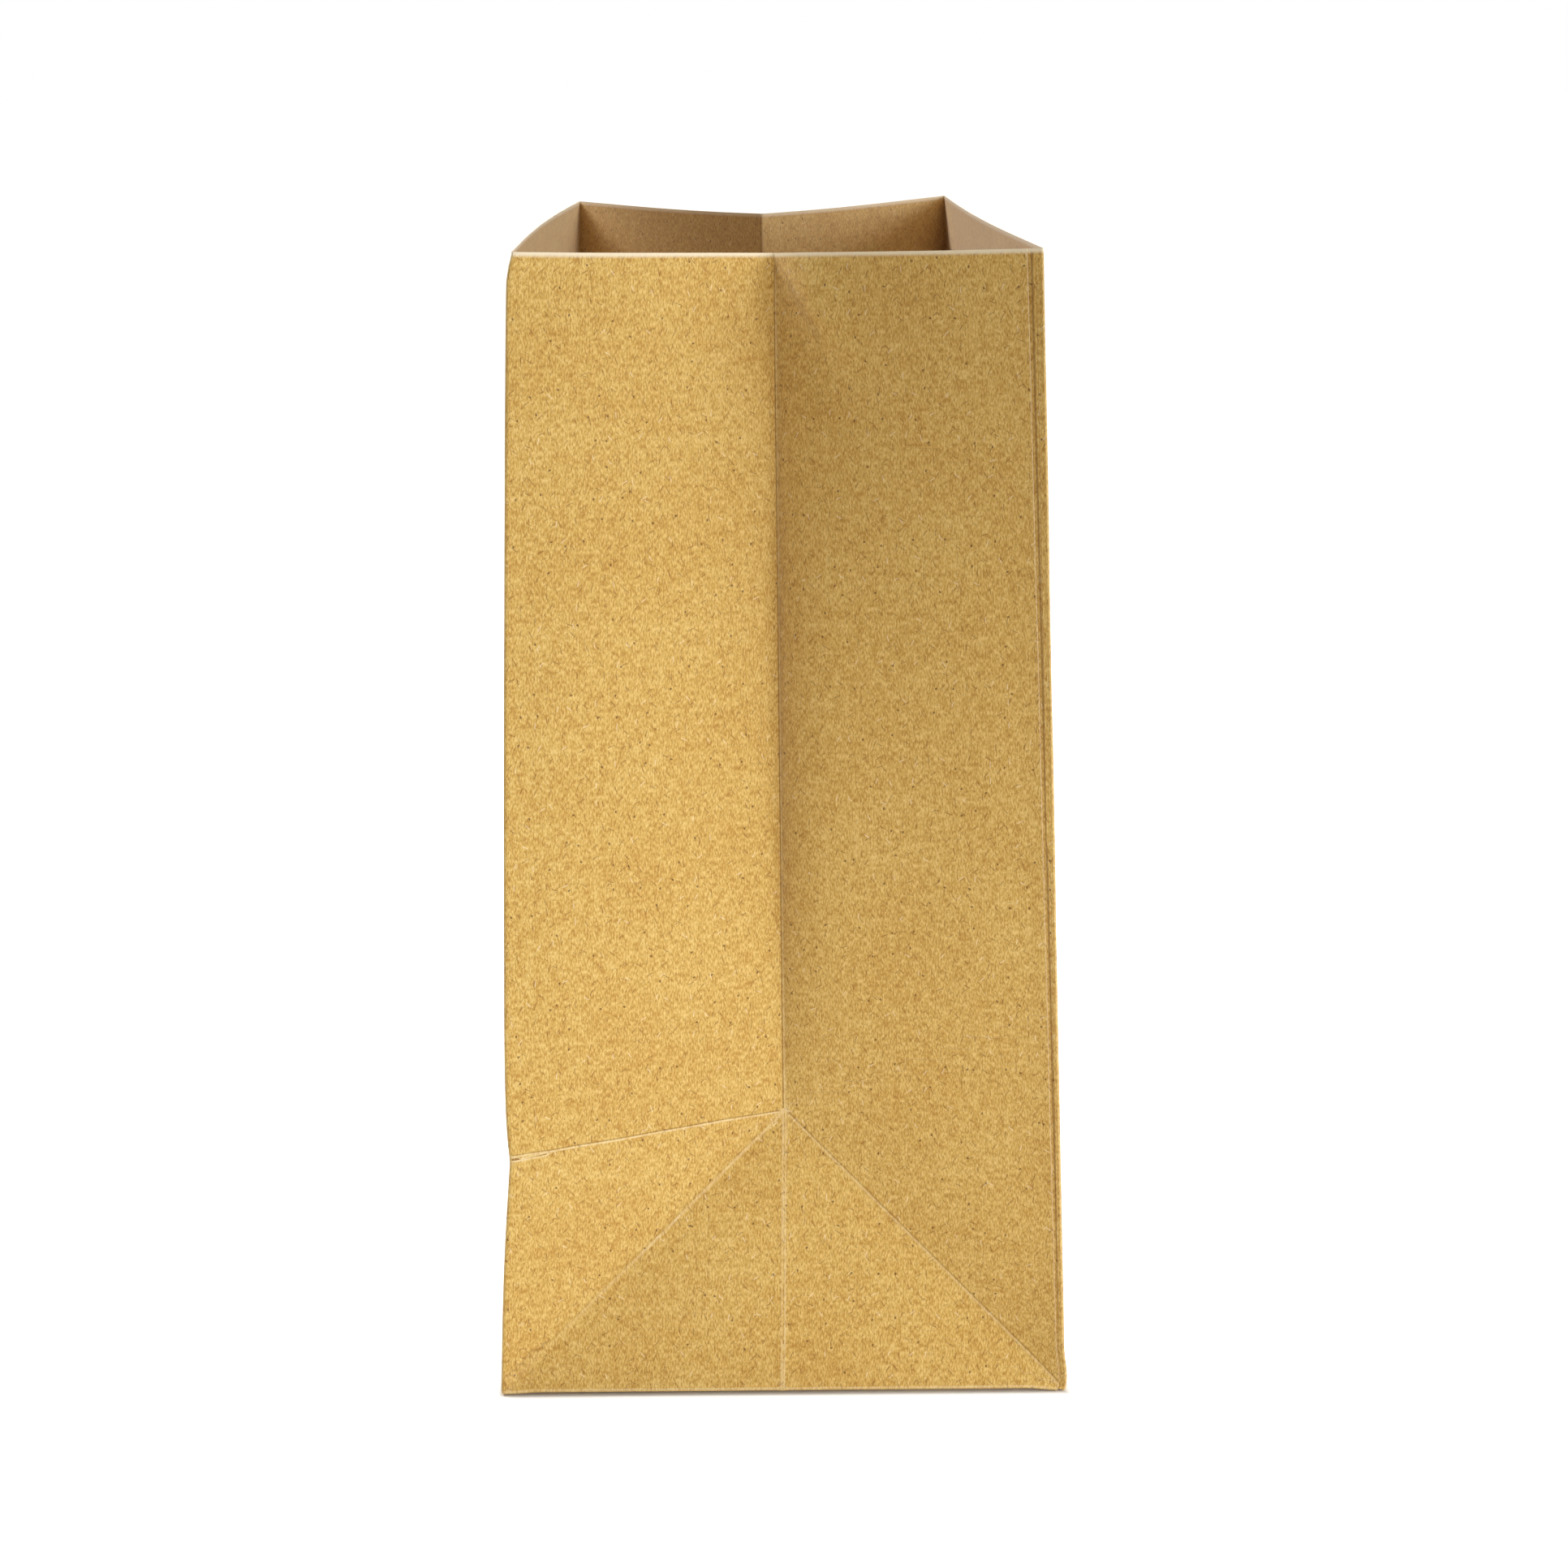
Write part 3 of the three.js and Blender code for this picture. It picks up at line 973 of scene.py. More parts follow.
@dataclass(frozen=True)
class Fibres:
    """Loose fibres of one kind, each a short bent stroke on the sheet, in millimetres."""

    colour: str
    cell: float  # no more than one fibre lies in each cell of this size
    share: float  # share of the cells that hold one
    length: float
    width: float
    cover: float  # how much of the ground it hides
    lean: float = 1.2  # most that it leans to either side of upright, in radians
    bend: float = 0.15  # how far it bows, over its length
    soft_side: tuple[float, float] = (0.25, 0.75)  # where its side starts and stops fading, over its width
    soft_end: tuple[float, float] = (0.35, 0.55)  # where its end does, over its length
    offset: tuple[float, float] = (7.3, 12.4)  # in cells, so that the kinds don't line up

    def strokes(self, tree: bpy.types.NodeTree, place: bpy.types.NodeSocket) -> bpy.types.NodeSocket:
        """Draw the fibres, each in its own cell and mostly upright on the sheet.

        Args:
            tree: the node tree to draw in.
            place: the place on the flat sheet, in millimetres.

        Returns:
            How much of the ground is hidden.
        """
        start = (self.offset[0] * self.cell, self.offset[1] * self.cell, 0.0)
        moved = add_node(tree, "VectorMath", {0: place, 1: start}, operation="ADD").outputs["Vector"]
        cells = add_node(
            tree, "TexVoronoi", {"Vector": moved, "Scale": 1.0 / self.cell}, voronoi_dimensions="2D"
        )
        number = add_node(tree, "SeparateColor", {"Color": cells.outputs["Color"]})
        angle = add_node(
            tree, "Math", {0: number.outputs["Red"], 1: 2 * self.lean, 2: math.pi / 2 - self.lean},
            operation="MULTIPLY_ADD",
        )
        off = add_node(tree, "VectorMath", {0: moved, 1: cells.outputs["Position"]}, operation="SUBTRACT")
        turned = add_node(
            tree, "VectorRotate", {"Vector": off.outputs["Vector"], "Angle": angle.outputs[0]},
            rotation_type="Z_AXIS",
        )
        part = add_node(tree, "SeparateXYZ", {"Vector": turned.outputs["Vector"]})
        run, side = part.outputs["X"], part.outputs["Y"]
        square = add_node(tree, "Math", {0: run, 1: run}, operation="MULTIPLY")
        bent = add_node(
            tree, "Math", {0: square.outputs[0], 1: self.bend / self.length, 2: side},
            operation="MULTIPLY_ADD",
        )
        held = add_node(tree, "Math", {0: number.outputs["Green"], 1: self.share}, operation="LESS_THAN")
        cover = held.outputs[0]
        edges = ((bent.outputs[0], self.width, self.soft_side), (run, self.length, self.soft_end))
        for distance, size, (inner, outer) in edges:
            away = add_node(tree, "Math", {0: distance}, operation="ABSOLUTE")
            edge = add_node(
                tree, "MapRange",
                {"Value": away.outputs[0], "From Min": inner * size, "From Max": outer * size,
                 "To Min": 1.0, "To Max": 0.0},
            )
            both = add_node(tree, "Math", {0: cover, 1: edge.outputs["Result"]}, operation="MULTIPLY")
            cover = both.outputs[0]
        return add_node(tree, "Math", {0: cover, 1: self.cover}, operation="MULTIPLY").outputs[0]


@dataclass(frozen=True)
class KraftPaper:
    """Unbleached kraft paper: machine-made from long softwood fibres, matte, uncoated and a little cloudy.

    The eye sees a warm golden ground with a fine grain, short brown hairs, rare dark shives and pale hairs,
    and pale bare fibres along folds and cut edges, with painted shade beside folds and a painted highlight on
    cut edges.
    At a low angle the loose fibres give it a greyish bloom.
    """

    name: str = "kraft_paper"
    # the ground's three tones, and where on the mixed grain each is full
    tones: tuple[tuple[float, str], ...] = ((0.39, "bf9041"), (0.5, "d6af5b"), (0.61, "e8ca7d"))
    worn: str = "f0dcac"  # fibres along a fold
    bare: str = "fbefd2"  # bare fibres of a cut edge, with a painted highlight on it
    painted_fold_shade: str = "7a4f20"  # painted shade in the line beside a fold
    dull: str = "cdb39c"  # the inner face, a little greyer: partly the unglazed side's own tone, partly painted light for the cooler light inside the bag
    dullness: float = 0.3
    # sizes across and up the sheet: its fibres lie mostly along the machine's run, which is upright here
    clouds: tuple[float, float] = (24.0, 24.0)
    flocks: tuple[float, float] = (1.9, 3.0)
    grain: tuple[float, float] = (0.34, 1.0)
    tooth: tuple[float, float] = (0.4, 0.8)
    rub: tuple[float, float] = (1.8, 1.8)
    flock_share: float = 0.3  # of the flocks in the grain, and then of the clouds in both
    cloud_share: float = 0.1
    tooth_height: float = 0.1
    tooth_strength: float = 0.7
    # a line beside a fold: its distance from the fold, half its width and how much of the ground it hides
    pale_line: tuple[float, float, float] = (-0.1, 0.5, 0.95)
    painted_fold_shade_line: tuple[float, float, float] = (0.42, 0.32, 0.85)
    rub_span: tuple[float, float] = (0.3, 0.62)  # from a pale line most broken up to one left whole
    rub_left: float = 0.4  # what is left of the line where it is most broken up
    cut_edge: tuple[float, float] = (0.3, 1.3)  # where a cut edge's bare fibres and painted highlight start and stop fading
    cut_cover: float = 0.95
    roughness: float = 0.86
    ior: float = 1.46
    bloom: float = 0.45
    bloom_roughness: float = 0.5
    # a real fibre is 0.03 mm wide: these are bundles, drawn as wide as the eye makes them out
    fibres: tuple[Fibres, ...] = (
        Fibres("93602a", 0.9, 0.5, 0.6, 0.13, 0.4),
        Fibres("8a561f", 1.6, 0.5, 1.0, 0.16, 0.5),
        Fibres("7c4818", 3.2, 0.5, 1.7, 0.2, 0.6),
        Fibres("f6e7c4", 4.6, 0.3, 1.5, 0.18, 0.65),
        Fibres("5c3414", 5.6, 0.4, 0.6, 0.36, 0.85),
    )

    def fold_line(self, tree: bpy.types.NodeTree, strength: Mark,
                  line: tuple[float, float, float]) -> bpy.types.NodeSocket:
        """Draw a soft line beside every fold line: its pale wear, or its painted shade, as the strength
        attribute says.

        Args:
            tree: the node tree to draw in.
            strength: the attribute that says how strong the line is.
            line: the line's distance from the fold, half its width and its cover.

        Returns:
            How much of the ground is hidden.
        """
        centre, width, cover = line
        gap = add_node(tree, "Attribute", attribute_name=Mark.FOLD_GAP.value)
        most = add_node(tree, "Attribute", attribute_name=strength.value)
        off = add_node(tree, "Math", {0: gap.outputs["Fac"], 1: centre}, operation="SUBTRACT")
        size = add_node(tree, "Math", {0: off.outputs[0]}, operation="ABSOLUTE")
        drawn = add_node(
            tree, "MapRange", {"Value": size.outputs[0], "From Max": width, "To Min": cover, "To Max": 0.0},
            interpolation_type="SMOOTHSTEP",
        )
        shown = add_node(
            tree, "Math", {0: drawn.outputs["Result"], 1: most.outputs["Fac"]}, operation="MULTIPLY"
        )
        return shown.outputs[0]

    def patterns(self, tree: bpy.types.NodeTree, place: bpy.types.NodeSocket) -> list[bpy.types.NodeSocket]:
        """Draw the sheet's patterns, each at its own size.

        Args:
            tree: the node tree to draw in.
            place: the place on the flat sheet, in millimetres.

        Returns:
            The clouds, the flocks, the grain, the tooth and the rub.
        """
        drawn = []
        for across, upright in (self.clouds, self.flocks, self.grain, self.tooth, self.rub):
            sized = add_node(
                tree, "VectorMath", {0: place, 1: (1.0 / across, 1.0 / upright, 0.0)}, operation="MULTIPLY"
            )
            noise = add_node(
                tree, "TexNoise", {"Vector": sized.outputs["Vector"], "Scale": 1.0, "Detail": 2.0}
            )
            drawn.append(noise.outputs["Fac"])
        return drawn

    def wear(self, tree: bpy.types.NodeTree,
             rub: bpy.types.NodeSocket) -> list[tuple[bpy.types.NodeSocket, str]]:
        """Draw the wear along folds and cut edges, the painted shade beside folds and the painted highlight
        on cut edges.

        Args:
            tree: the node tree to draw in.
            rub: the pattern that breaks the pale lines up.

        Returns:
            For each layer, how much of the ground it hides, and its colour.
        """
        broken, whole = self.rub_span
        rubbed = add_node(
            tree, "MapRange",
            {"Value": rub, "From Min": broken, "From Max": whole, "To Min": self.rub_left, "To Max": 1.0},
        )
        line = self.fold_line(tree, Mark.FOLD_PALE, self.pale_line)
        pale = add_node(tree, "Math", {0: line, 1: rubbed.outputs["Result"]}, operation="MULTIPLY")
        painted_fold_shade = self.fold_line(tree, Mark.FOLD_DARK, self.painted_fold_shade_line)
        cut = add_node(tree, "Attribute", attribute_name=Mark.CUT_GAP.value)
        inner, outer = self.cut_edge
        edge = add_node(
            tree, "MapRange",
            {"Value": cut.outputs["Fac"], "From Min": inner, "From Max": outer,
             "To Min": self.cut_cover, "To Max": 0.0},
            interpolation_type="SMOOTHSTEP",
        )
        return [(pale.outputs[0], self.worn), (painted_fold_shade, self.painted_fold_shade), (edge.outputs["Result"], self.bare)]

    def made(self) -> bpy.types.Material:
        """Build the paper's node material.

        Returns:
            The finished material.
        """
        material = bpy.data.materials.new(self.name)
        material.use_nodes = True
        tree = material.node_tree
        tree.nodes.clear()
        sheet = add_node(tree, "UVMap", uv_map=FLAT_MAP)
        place = add_node(
            tree, "VectorMath", {0: sheet.outputs["UV"], "Scale": 1.0 / MM}, operation="SCALE"
        ).outputs["Vector"]
        clouds, flocks, grain, tooth, rub = self.patterns(tree, place)
        flocked = add_node(tree, "Mix", {0: self.flock_share, 2: grain, 3: flocks})
        mixed = add_node(tree, "Mix", {0: self.cloud_share, 2: flocked.outputs[0], 3: clouds})
        ground = add_node(tree, "ValToRGB", {"Fac": mixed.outputs[0]})
        ramp = ground.color_ramp.elements
        ramp[0].position, ramp[-1].position = self.tones[0][0], self.tones[-1][0]
        ramp.new(self.tones[1][0])
        for stop, (_, tone) in zip(ramp, self.tones):
            stop.color = linear(tone)

        # the inner face is tinted greyer: partly painted light for the cooler light inside the bag, partly
        # the unglazed side's own tone
        inside = add_node(tree, "Attribute", attribute_name=Mark.INSIDE.value)
        greyed = add_node(
            tree, "Math", {0: inside.outputs["Fac"], 1: self.dullness}, operation="MULTIPLY"
        )
        layers = [(kind.strokes(tree, place), kind.colour) for kind in self.fibres]
        layers += [*self.wear(tree, rub), (greyed.outputs[0], self.dull)]
        colour = ground.outputs["Color"]
        for share, tint in layers:
            laid = add_node(tree, "Mix", {0: share, 6: colour, 7: linear(tint)}, data_type="RGBA")
            colour = laid.outputs[2]

        bump = add_node(
            tree, "Bump",
            {"Strength": self.tooth_strength, "Distance": self.tooth_height * MM, "Height": tooth},
        )
        shader = add_node(
            tree, "BsdfPrincipled",
            {"Base Color": colour, "Roughness": self.roughness, "IOR": self.ior,
             "Normal": bump.outputs["Normal"],
             "Sheen Weight": self.bloom, "Sheen Roughness": self.bloom_roughness},
        )
        add_node(tree, "OutputMaterial", {"Surface": shader.outputs["BSDF"]})
        return material


@dataclass
class KraftBag:
    """The bag's one piece: the blank scored, folded, thickened and dressed."""

    blank: Blank
    stance: OpenStance
    finish: KraftPaper
    name: str = "folded_kraft_bag"
    seam_hidden: float = 0.95  # how much less of the rim's bare fibre and painted highlight the pasted edge shows, in millimetres
    score_reach: float = 0.02  # a score runs through grid corners this near it, in millimetres
    smooth_angle: float = 32.0  # in degrees; edges sharper than this are shaded as edges

    def near_folds(self) -> list[WearAndShadeLine]:
        """The near gusset's worn folds, and the shade painted beside them, as lines on the blank.

        Returns:
            The folds.
        """
        blank = self.blank
        half, wall, gusset, crease = blank.half, blank.wall, blank.gusset, blank.crease
        stops = [(half + run, half - run) for run in (0.0, 34.0, 48.0, half)]  # down the left diagonal
        looks = (0.5, 0.2, 0.03), (0.3, 0.15, 0.0), (0.12, 0.15, 0.0)  # pale wear, painted shade and bead of its parts
        return [
            # the middle fold with painted shade beside it, and a second painted shade line beside it at the
            # rim
            WearAndShadeLine((half, wall), (half, half), pale=0.45, dark=0.9, wide=0.9),
            WearAndShadeLine((half - 0.75, wall), (half - 0.6, wall - 18.0), dark=0.6),
            # the pair of lines down the base triangle's middle, and the worn knot at its apex
            WearAndShadeLine((half - 0.36, 0.0), (half - 0.36, half), pale=0.7, bead=0.06, wide=0.55, wave=0.03),
            WearAndShadeLine((half + 0.36, 0.0), (half + 0.36, half), pale=0.6, bead=0.06, wide=0.55, wave=0.03),
            WearAndShadeLine((half - 0.9, half), (half + 1.2, half + 0.2), pale=0.9, bead=0.2, wide=1.3),
            # the base triangle's right diagonal, and its left one, which is lost toward the corner
            WearAndShadeLine((0.0, 0.0), (half, half), pale=0.5, dark=0.55, bead=0.04, wide=0.9),
            *(
                WearAndShadeLine(start, end, pale=pale, dark=dark, bead=bead, wide=1.2, wave=0.03)
                for start, end, (pale, dark, bead) in zip(stops, stops[1:], looks)
            ),
            # painted shade beside the dent at the rim, drawn as a wide dark line
            WearAndShadeLine((half - 9.5, wall - 19.0), (half - 0.5, wall - 4.5), dark=0.18, wide=6.5),
            # the storage crease, which parts in two before the left fold
            WearAndShadeLine(
                (half, half), (gusset - 8.5, crease + 1.5), pale=0.9, dark=0.6, bead=0.1, wide=0.75, wave=0.04
            ),
            WearAndShadeLine(
                (gusset - 8.5, crease + 1.6), (gusset - 0.3, crease + 1.1), pale=0.85, dark=0.5, wide=0.75
            ),
            WearAndShadeLine(
                (gusset - 9.0, crease + 0.75), (gusset, crease), pale=0.95, dark=0.85, bead=0.12, wide=0.75
            ),
            # the small folds at the left base corner, with painted fold shadow
            WearAndShadeLine((gusset - 11.0, 12.0), (gusset - 1.2, 2.3), dark=0.6, bead=-0.06, wide=1.2),
            WearAndShadeLine((gusset - 7.5, 10.3), (gusset - 1.6, 4.4), pale=0.25, dark=0.3, bead=0.08),
        ]

    def far_folds(self) -> list[WearAndShadeLine]:
        """The far gusset's worn folds, and the shade painted beside them, as lines on the blank.

        Returns:
            The folds.
        """
        blank = self.blank
        half, far = blank.half, blank.far_start
        middle, right = far + half, far + blank.gusset
        return [
            WearAndShadeLine((middle, half), (middle, blank.wall), pale=0.5, dark=0.6),
            WearAndShadeLine((middle, 0.0), (middle, half), pale=0.6, bead=0.1, wide=1.3),
            WearAndShadeLine((far, 0.0), (middle, half), pale=0.5, dark=0.2),
            WearAndShadeLine((middle, half), (right, 0.0), pale=0.5, dark=0.4),
            WearAndShadeLine((far, blank.crease), (middle, half), pale=0.7, dark=0.4, bead=0.1, wave=0.05),
        ]

    def fold_wear_and_shade(self) -> list[WearAndShadeLine]:
        """The lines of fold wear and painted shade on the blank.

        Returns:
            The folds.
        """
        blank = self.blank
        edge, left, lap = blank.cut_inset_base, blank.left_start, blank.lap_start
        folds = self.near_folds() + self.far_folds()
        folds += [WearAndShadeLine((post, 0.0), (post, blank.wall), pale=0.25) for post in blank.posts]
        folds += [
            # the left fold below the storage crease, and the crease across the left panel
            WearAndShadeLine((left, 0.0), (left, blank.crease), pale=0.35, wide=1.5),
            WearAndShadeLine((left, blank.crease), (blank.far_start, blank.crease), pale=0.7, dark=0.4, wave=0.05),
            # painted shadow on the lap beside the pasted cut edge, which stands off it
            WearAndShadeLine((lap + edge, 0.0), (lap + blank.cut_inset_rim, blank.wall), dark=0.8, wide=1.5),
            # the base fold: pale on its shoulder, worn fibres with a painted highlight, and painted shade
            # underneath
            WearAndShadeLine((edge, 0.65), (lap, 0.65), pale=0.65, wide=0.8),
            WearAndShadeLine((edge, -0.5), (lap, -0.5), dark=0.9),
        ]
        return folds

    def dents(self) -> list[Dent]:
        """The soft bulges and hollows that handling left, on the blank.

        Returns:
            The dents.
        """
        half, wall = self.blank.half, self.blank.wall
        return [
            Dent(half - 3.0, wall - 3.0, 0.35, (2.5, 5.0)),
            Dent(half - 10.0, wall - 7.0, 3.3, (14.0, 5.5), turn=57.0),
        ]

    def laid_flat(self) -> bpy.types.Object:
        """Add the blank as a flat grid and lay its lines out.

        Returns:
            The flat piece, in the XY plane.
        """
        along, up = BlankGrid(self.blank).laid_out()
        rows, columns = along.shape
        bpy.ops.object.select_all(action="DESELECT")
        bpy.ops.mesh.primitive_grid_add(x_subdivisions=columns - 1, y_subdivisions=rows - 1, size=2.0)
        piece = bpy.context.object
        piece.name = self.name
        piece.data.name = self.name
        corners = corner_places(piece.data)
        column = np.rint((corners[:, 0] + 1) / 2 * (columns - 1)).astype(int)
        row = np.rint((corners[:, 1] + 1) / 2 * (rows - 1)).astype(int)
        flat = np.stack([along[row, column], up[row, column], np.zeros(len(corners))], axis=1) * MM
        piece.data.vertices.foreach_set("co", flat.ravel())
        piece.data.update()
        return piece

    def scores(self) -> list[Score]:
        """The slanted folds: the diagonals of both base triangles and of the panels' bottom flaps.

        Returns:
            The folds.
        """
        blank = self.blank
        half, gusset, flap = blank.half, blank.gusset, blank.flap
        scores = []
        for start in (0.0, blank.far_start):
            middle, stop = start + half, start + gusset
            scores.append(Score(start, 1, (start, middle), (0.0, half)))
            scores.append(Score(stop, -1, (middle, stop), (0.0, half)))
        for start in (blank.left_start, blank.right_start):
            stop = start + blank.panel
            scores.append(Score(start, -1, (start, start + flap), (-flap, 0.0)))
            scores.append(Score(stop, 1, (stop - flap, stop), (-flap, 0.0)))
        return scores

    def scored(self, piece: bpy.types.Object) -> None:
        """Score the slanted folds across the flat blank, and turn its outer face up.

        Args:
            piece: the flat blank.
        """
        mesh = piece.data
        for score in self.scores():
            (left, right), (low, high) = score.along, score.up
            centres = np.empty(len(mesh.polygons) * 3)
            mesh.polygons.foreach_get("center", centres)
            x, y, _ = centres.reshape(-1, 3).T / MM
            mesh.vertices.foreach_set("select", np.zeros(len(mesh.vertices), dtype=bool))
            mesh.edges.foreach_set("select", np.zeros(len(mesh.edges), dtype=bool))
            mesh.polygons.foreach_set("select", (x > left) & (x < right) & (y > low) & (y < high))
            bpy.ops.object.mode_set(mode="EDIT")
            bpy.ops.mesh.select_mode(type="FACE")
            bpy.ops.mesh.bisect(
                plane_co=(score.foot * MM, 0.0, 0.0), plane_no=(-score.slope, 1.0, 0.0),
                threshold=self.score_reach * MM,
            )
            bpy.ops.object.mode_set(mode="OBJECT")
        bpy.ops.object.mode_set(mode="EDIT")
        bpy.ops.mesh.select_all(action="SELECT")
        bpy.ops.mesh.flip_normals()
        bpy.ops.object.mode_set(mode="OBJECT")

    def folded(self, piece: bpy.types.Object) -> None:
        """Fold the scored blank, keeping its flat places as a UV map and its wear and painted shade as
        attributes.

        Args:
            piece: the scored flat blank.
        """
        mesh = piece.data
        along, up = (corner_places(mesh)[:, :2] / MM).T
        folds = self.fold_wear_and_shade()
        self.mapped(mesh, along, up)
        self.marked(mesh, along, up, folds)
        points = FoldedSheet(self.blank, self.stance).standing(along, up, folds, self.dents())
        mesh.vertices.foreach_set("co", points.ravel())
        mesh.update()

    def mapped(self, mesh: bpy.types.Mesh, along: np.ndarray, up: np.ndarray) -> None:
        """Store the places on the flat blank as the piece's UV map.

        Args:
            mesh: the piece's mesh.
            along: places of its corners along the blank.
            up: heights of its corners on the blank.
        """
        while mesh.uv_layers:
            mesh.uv_layers.remove(mesh.uv_layers[0])
        layer = mesh.uv_layers.new(name=FLAT_MAP)
        corner = np.empty(len(mesh.loops), dtype=int)
        mesh.loops.foreach_get("vertex_index", corner)
        flat = np.stack([along, up + self.blank.flap], axis=1)[corner] * MM
        layer.data.foreach_set("uv", flat.ravel())

    def marked(self, mesh: bpy.types.Mesh, along: np.ndarray, up: np.ndarray,
               folds: Sequence[WearAndShadeLine]) -> None:
        """Store the distances from the lines of fold wear and painted shade and from cut edges as vertex
        attributes.

        Args:
            mesh: the piece's mesh.
            along: places of its corners along the blank.
            up: heights of its corners on the blank.
            folds: the lines of fold wear and painted shade.
        """
        nearest = np.full(len(along), np.inf)
        gap, pale, dark = np.full(len(along), FAR_OFF), np.zeros(len(along)), np.zeros(len(along))
        tie = 1e-4  # of two folds as near as this, in millimetres, the first counts
        on_line = 1e-9  # a corner right on a line counts as on its left hand
        for fold in folds:
            side, past = fold.gap(along, up)
            distance = np.hypot(side, past)
            closer = distance < nearest - tie
            nearest = np.where(closer, distance, nearest)
            signed = np.where(past > 0, np.sign(side + on_line) * distance, side)
            gap = np.where(closer, signed / fold.wide, gap)
            pale = np.where(closer, fold.pale, pale)
            dark = np.where(closer, fold.dark, dark)
        seam = along - self.blank.cut_inset(up) + self.seam_hidden
        cut = np.minimum(self.blank.wall - up, seam)
        marks = {
            Mark.FOLD_GAP: np.clip(gap, -FAR_OFF, FAR_OFF),
            Mark.FOLD_PALE: pale,
            Mark.FOLD_DARK: dark,
            Mark.CUT_GAP: np.clip(cut, 0.0, FAR_OFF),
        }
        for mark, values in marks.items():
            attribute = mesh.attributes.new(mark.value, "FLOAT", "POINT")
            attribute.data.foreach_set("value", values.astype(np.float32))

    def thickened(self, piece: bpy.types.Object) -> None:
        """Give the sheet its paper's thickness and its smooth shading.

        Args:
            piece: the folded sheet.
        """
        piece.vertex_groups.new(name=Mark.INSIDE.value)
        ply = piece.modifiers.new("ply", "SOLIDIFY")
        ply.thickness = self.blank.paper * MM
        ply.offset = 0.0
        ply.shell_vertex_group = Mark.INSIDE.value
        bpy.ops.object.select_all(action="DESELECT")
        piece.select_set(True)
        bpy.context.view_layer.objects.active = piece
        bpy.ops.object.modifier_apply(modifier=ply.name)
        bpy.ops.object.shade_smooth_by_angle(angle=math.radians(self.smooth_angle))
        # only the inner face's corners are in the one group
        inside = np.array([len(corner.groups) for corner in piece.data.vertices], dtype=np.float32)
        piece.vertex_groups.clear()
        piece.data.attributes.new(Mark.INSIDE.value, "FLOAT", "POINT").data.foreach_set("value", inside)

    def build(self) -> bpy.types.Object:
        """Make the bag and tie it to the frame.

        Returns:
            The finished piece.
        """
        piece = self.laid_flat()
        self.scored(piece)
        self.folded(piece)
        self.thickened(piece)
        piece.data.materials.clear()
        piece.data.materials.append(self.finish.made())
        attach(piece, BODY)
        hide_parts(BAG_NODE)
        return piece


@dataclass(frozen=True)
class StudioFloor:
    """A plain pale floor that the camera sees as white, but for the bag's shadow and a painted shadow under
    its base.
    """

    bag_half: tuple[float, float]  # half the bag's width and depth, in metres
    colour: str = "f4f4f2"
    reach: float = 14.0  # from its middle to its sides, in metres
    glow: float = 0.86  # what the camera sees on top of the floor's own light, to make it white
    painted_shadow_edge: float = 2 * MM  # the glow is off under the bag's base, a painted shadow, and reached this far outside it

    def build(self) -> bpy.types.Object:
        """Add the floor and its matte white finish, with a painted shadow under the bag's base.

        Returns:
            The floor.
        """
        bpy.ops.object.select_all(action="DESELECT")
        bpy.ops.mesh.primitive_plane_add(size=2 * self.reach, location=(0.0, 0.0, 0.0))
        floor = bpy.context.object
        floor.name = "studio_floor"
        material = bpy.data.materials.new("matte_white_floor")
        material.use_nodes = True
        tree = material.node_tree
        tree.nodes.clear()
        matte = add_node(tree, "BsdfDiffuse", {"Color": linear(self.colour)})
        # the camera's glow is masked off under the bag's base: a painted shadow that keeps the gap under the
        # bottom dark
        place = add_node(tree, "TexCoord")
        away = add_node(tree, "VectorMath", {0: place.outputs["Object"]}, operation="ABSOLUTE")
        past = add_node(
            tree, "VectorMath", {0: away.outputs["Vector"], 1: (*self.bag_half, 0.0)}, operation="SUBTRACT"
        )
        part = add_node(tree, "SeparateXYZ", {"Vector": past.outputs["Vector"]})
        gap = add_node(tree, "Math", {0: part.outputs["X"], 1: part.outputs["Y"]}, operation="MAXIMUM")
        glow_past_painted_shadow = add_node(
            tree, "MapRange",
            {"Value": gap.outputs[0], "From Max": self.painted_shadow_edge, "To Max": self.glow},
        )
        path = add_node(tree, "LightPath")
        seen = add_node(
            tree, "Math",
            {0: path.outputs["Is Camera Ray"], 1: glow_past_painted_shadow.outputs["Result"]}, operation="MULTIPLY",
        )
        glow = add_node(tree, "Emission", {"Strength": seen.outputs[0]})
        both = add_node(tree, "AddShader", {0: matte.outputs[0], 1: glow.outputs[0]})
        add_node(tree, "OutputMaterial", {"Surface": both.outputs[0]})
        floor.data.materials.append(material)
        return floor


@dataclass(frozen=True)
class SoftLamp:
    """A soft studio lamp or a lit card that faces the bag."""

    name: str
    place: tuple[float, float, float]  # in metres, as are its size and its aim
    size: float
    power: float  # in watts
    colour: tuple[float, float, float]  # tint of its light
    aim: tuple[float, float, float] = (0.0, 0.0, 0.13)

    def build(self) -> bpy.types.Object:
        """Add the lamp.

        Returns:
            The lamp.
        """
        data = bpy.data.lights.new(self.name, "AREA")
        data.shape = "DISK"
        data.size = self.size
        data.energy = self.power
        data.color = self.colour
        lamp = bpy.data.objects.new(self.name, data)
        bpy.context.scene.collection.objects.link(lamp)
        lamp.location = self.place
        lamp.rotation_mode = "QUATERNION"
        lamp.rotation_quaternion = (Vector(self.aim) - Vector(self.place)).to_track_quat("-Z", "Y")
        return lamp


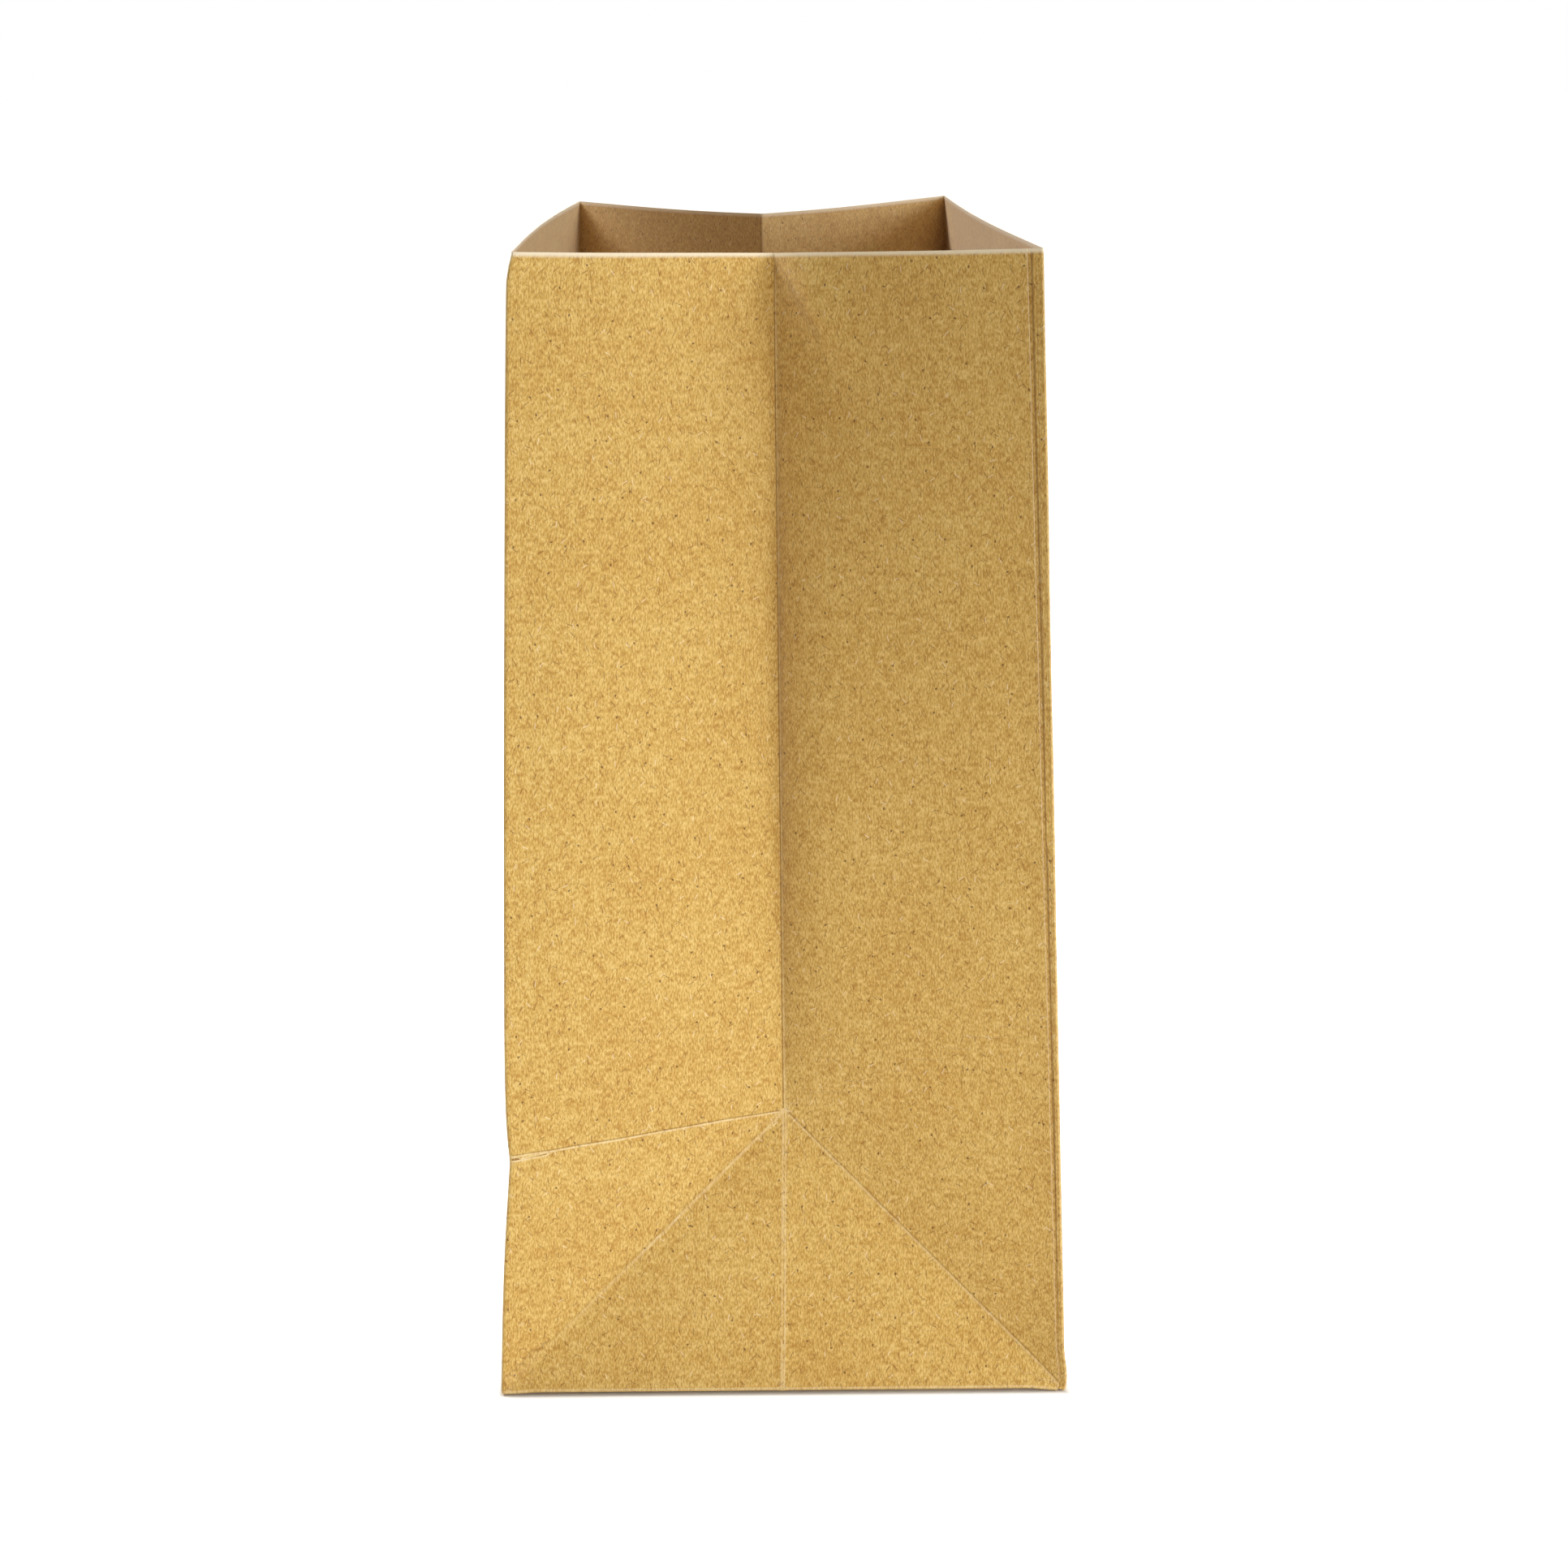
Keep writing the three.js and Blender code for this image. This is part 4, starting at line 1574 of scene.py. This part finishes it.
@dataclass
class Studio:
    """The floor, the lamps, the white room and the camera at the photograph's place."""

    floor: StudioFloor
    camera_place: tuple[float, float, float] = (-0.0020, -0.792, 0.311)  # in metres
    pitch_down: float = 13.43  # this and the next two are in degrees
    turn_right: float = 0.26
    roll: float = 0.38
    focal_share: float = 3894 / 1932  # focal length over the picture's width
    sensor: float = 36.0  # its width, in millimetres
    clip: tuple[float, float] = (0.01, 100.0)  # nearest and farthest that the camera sees, in metres
    room_light: tuple[float, float] = (0.08, 0.5)  # from the room's dark left side to its light right side
    room_turn: tuple[float, float] = (-0.7, 0.5)  # how far to the left and right those are reached
    room_colour: str = "fff1da"  # a pale room's warmth, which shows on the shaded side
    lamps: tuple[SoftLamp, ...] = (
        SoftLamp("key_lamp", (1.45, -0.6, 0.7), 1.0, 14.0, (0.96, 1.0, 1.08)),
        SoftLamp("back_lamp", (-0.6, 0.25, 1.0), 0.5, 9.0, (1.0, 0.96, 0.94), (0.0, 0.0, 0.22)),
        SoftLamp("front_card", (0.1, -0.32, 0.02), 0.25, 0.4, (1.0, 0.99, 1.02), (0.0, -0.1, 0.04)),
    )

    def build(self) -> None:
        """Make the whole studio."""
        scene = bpy.context.scene
        scene.view_settings.view_transform = "Standard"
        self.floor.build()
        for lamp in self.lamps:
            lamp.build()
        self.white_room(scene)
        self.photographer(scene)

    def white_room(self, scene: bpy.types.Scene) -> None:
        """Light the bag from all round by a pale room that the camera sees as white.

        Args:
            scene: the scene to light.
        """
        world = bpy.data.worlds.new("white_room")
        scene.world = world
        world.use_nodes = True
        tree = world.node_tree
        tree.nodes.clear()
        path = add_node(tree, "LightPath")
        way = add_node(tree, "TexCoord")
        part = add_node(tree, "SeparateXYZ", {"Vector": way.outputs["Generated"]})
        (dark, light), (left, right) = self.room_light, self.room_turn
        level = add_node(
            tree, "MapRange",
            {"Value": part.outputs["X"], "From Min": left, "From Max": right,
             "To Min": dark, "To Max": light},
            interpolation_type="SMOOTHSTEP",
        )
        seen, white = path.outputs["Is Camera Ray"], linear("ffffff")
        strength = add_node(tree, "Mix", {0: seen, 2: level.outputs["Result"], 3: 1.0})
        colour = add_node(tree, "Mix", {0: seen, 6: linear(self.room_colour), 7: white}, data_type="RGBA")
        room = add_node(
            tree, "Background", {"Color": colour.outputs[2], "Strength": strength.outputs[0]}
        )
        add_node(tree, "OutputWorld", {"Surface": room.outputs[0]})

    def photographer(self, scene: bpy.types.Scene) -> None:
        """Set the camera where the photograph was taken from.

        Args:
            scene: the scene to look at.
        """
        data = bpy.data.cameras.new("photo_camera")
        data.sensor_width = self.sensor
        data.lens = self.sensor * self.focal_share
        data.clip_start, data.clip_end = self.clip
        camera = bpy.data.objects.new("photo_camera", data)
        scene.collection.objects.link(camera)
        turn = Matrix.Rotation(math.radians(-self.turn_right), 4, "Z")
        tilt = Matrix.Rotation(math.radians(90.0 - self.pitch_down), 4, "X")
        roll = Matrix.Rotation(math.radians(-self.roll), 4, "Z")
        camera.matrix_world = Matrix.Translation(self.camera_place) @ turn @ tilt @ roll
        scene.camera = camera


def main() -> None:
    """Build the bag and its studio in order, and report each piece."""
    logging.basicConfig(level=logging.INFO, format="%(name)s: %(message)s")
    stance = OpenStance()
    blank = Blank.from_box(*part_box(BAG_NODE), stance.near_rim_valley)
    LOG.info("blank %.0f x %.0f mm", *blank.flat_size)
    bag = KraftBag(blank, stance, KraftPaper()).build()
    LOG.info("%s: %d corners, %d faces", bag.name, len(bag.data.vertices), len(bag.data.polygons))
    studio = Studio(StudioFloor((blank.half * MM, blank.panel / 2 * MM)))
    studio.build()
    LOG.info("studio: floor, %d lamps, camera", len(studio.lamps))


if __name__ == "__main__":
    main()
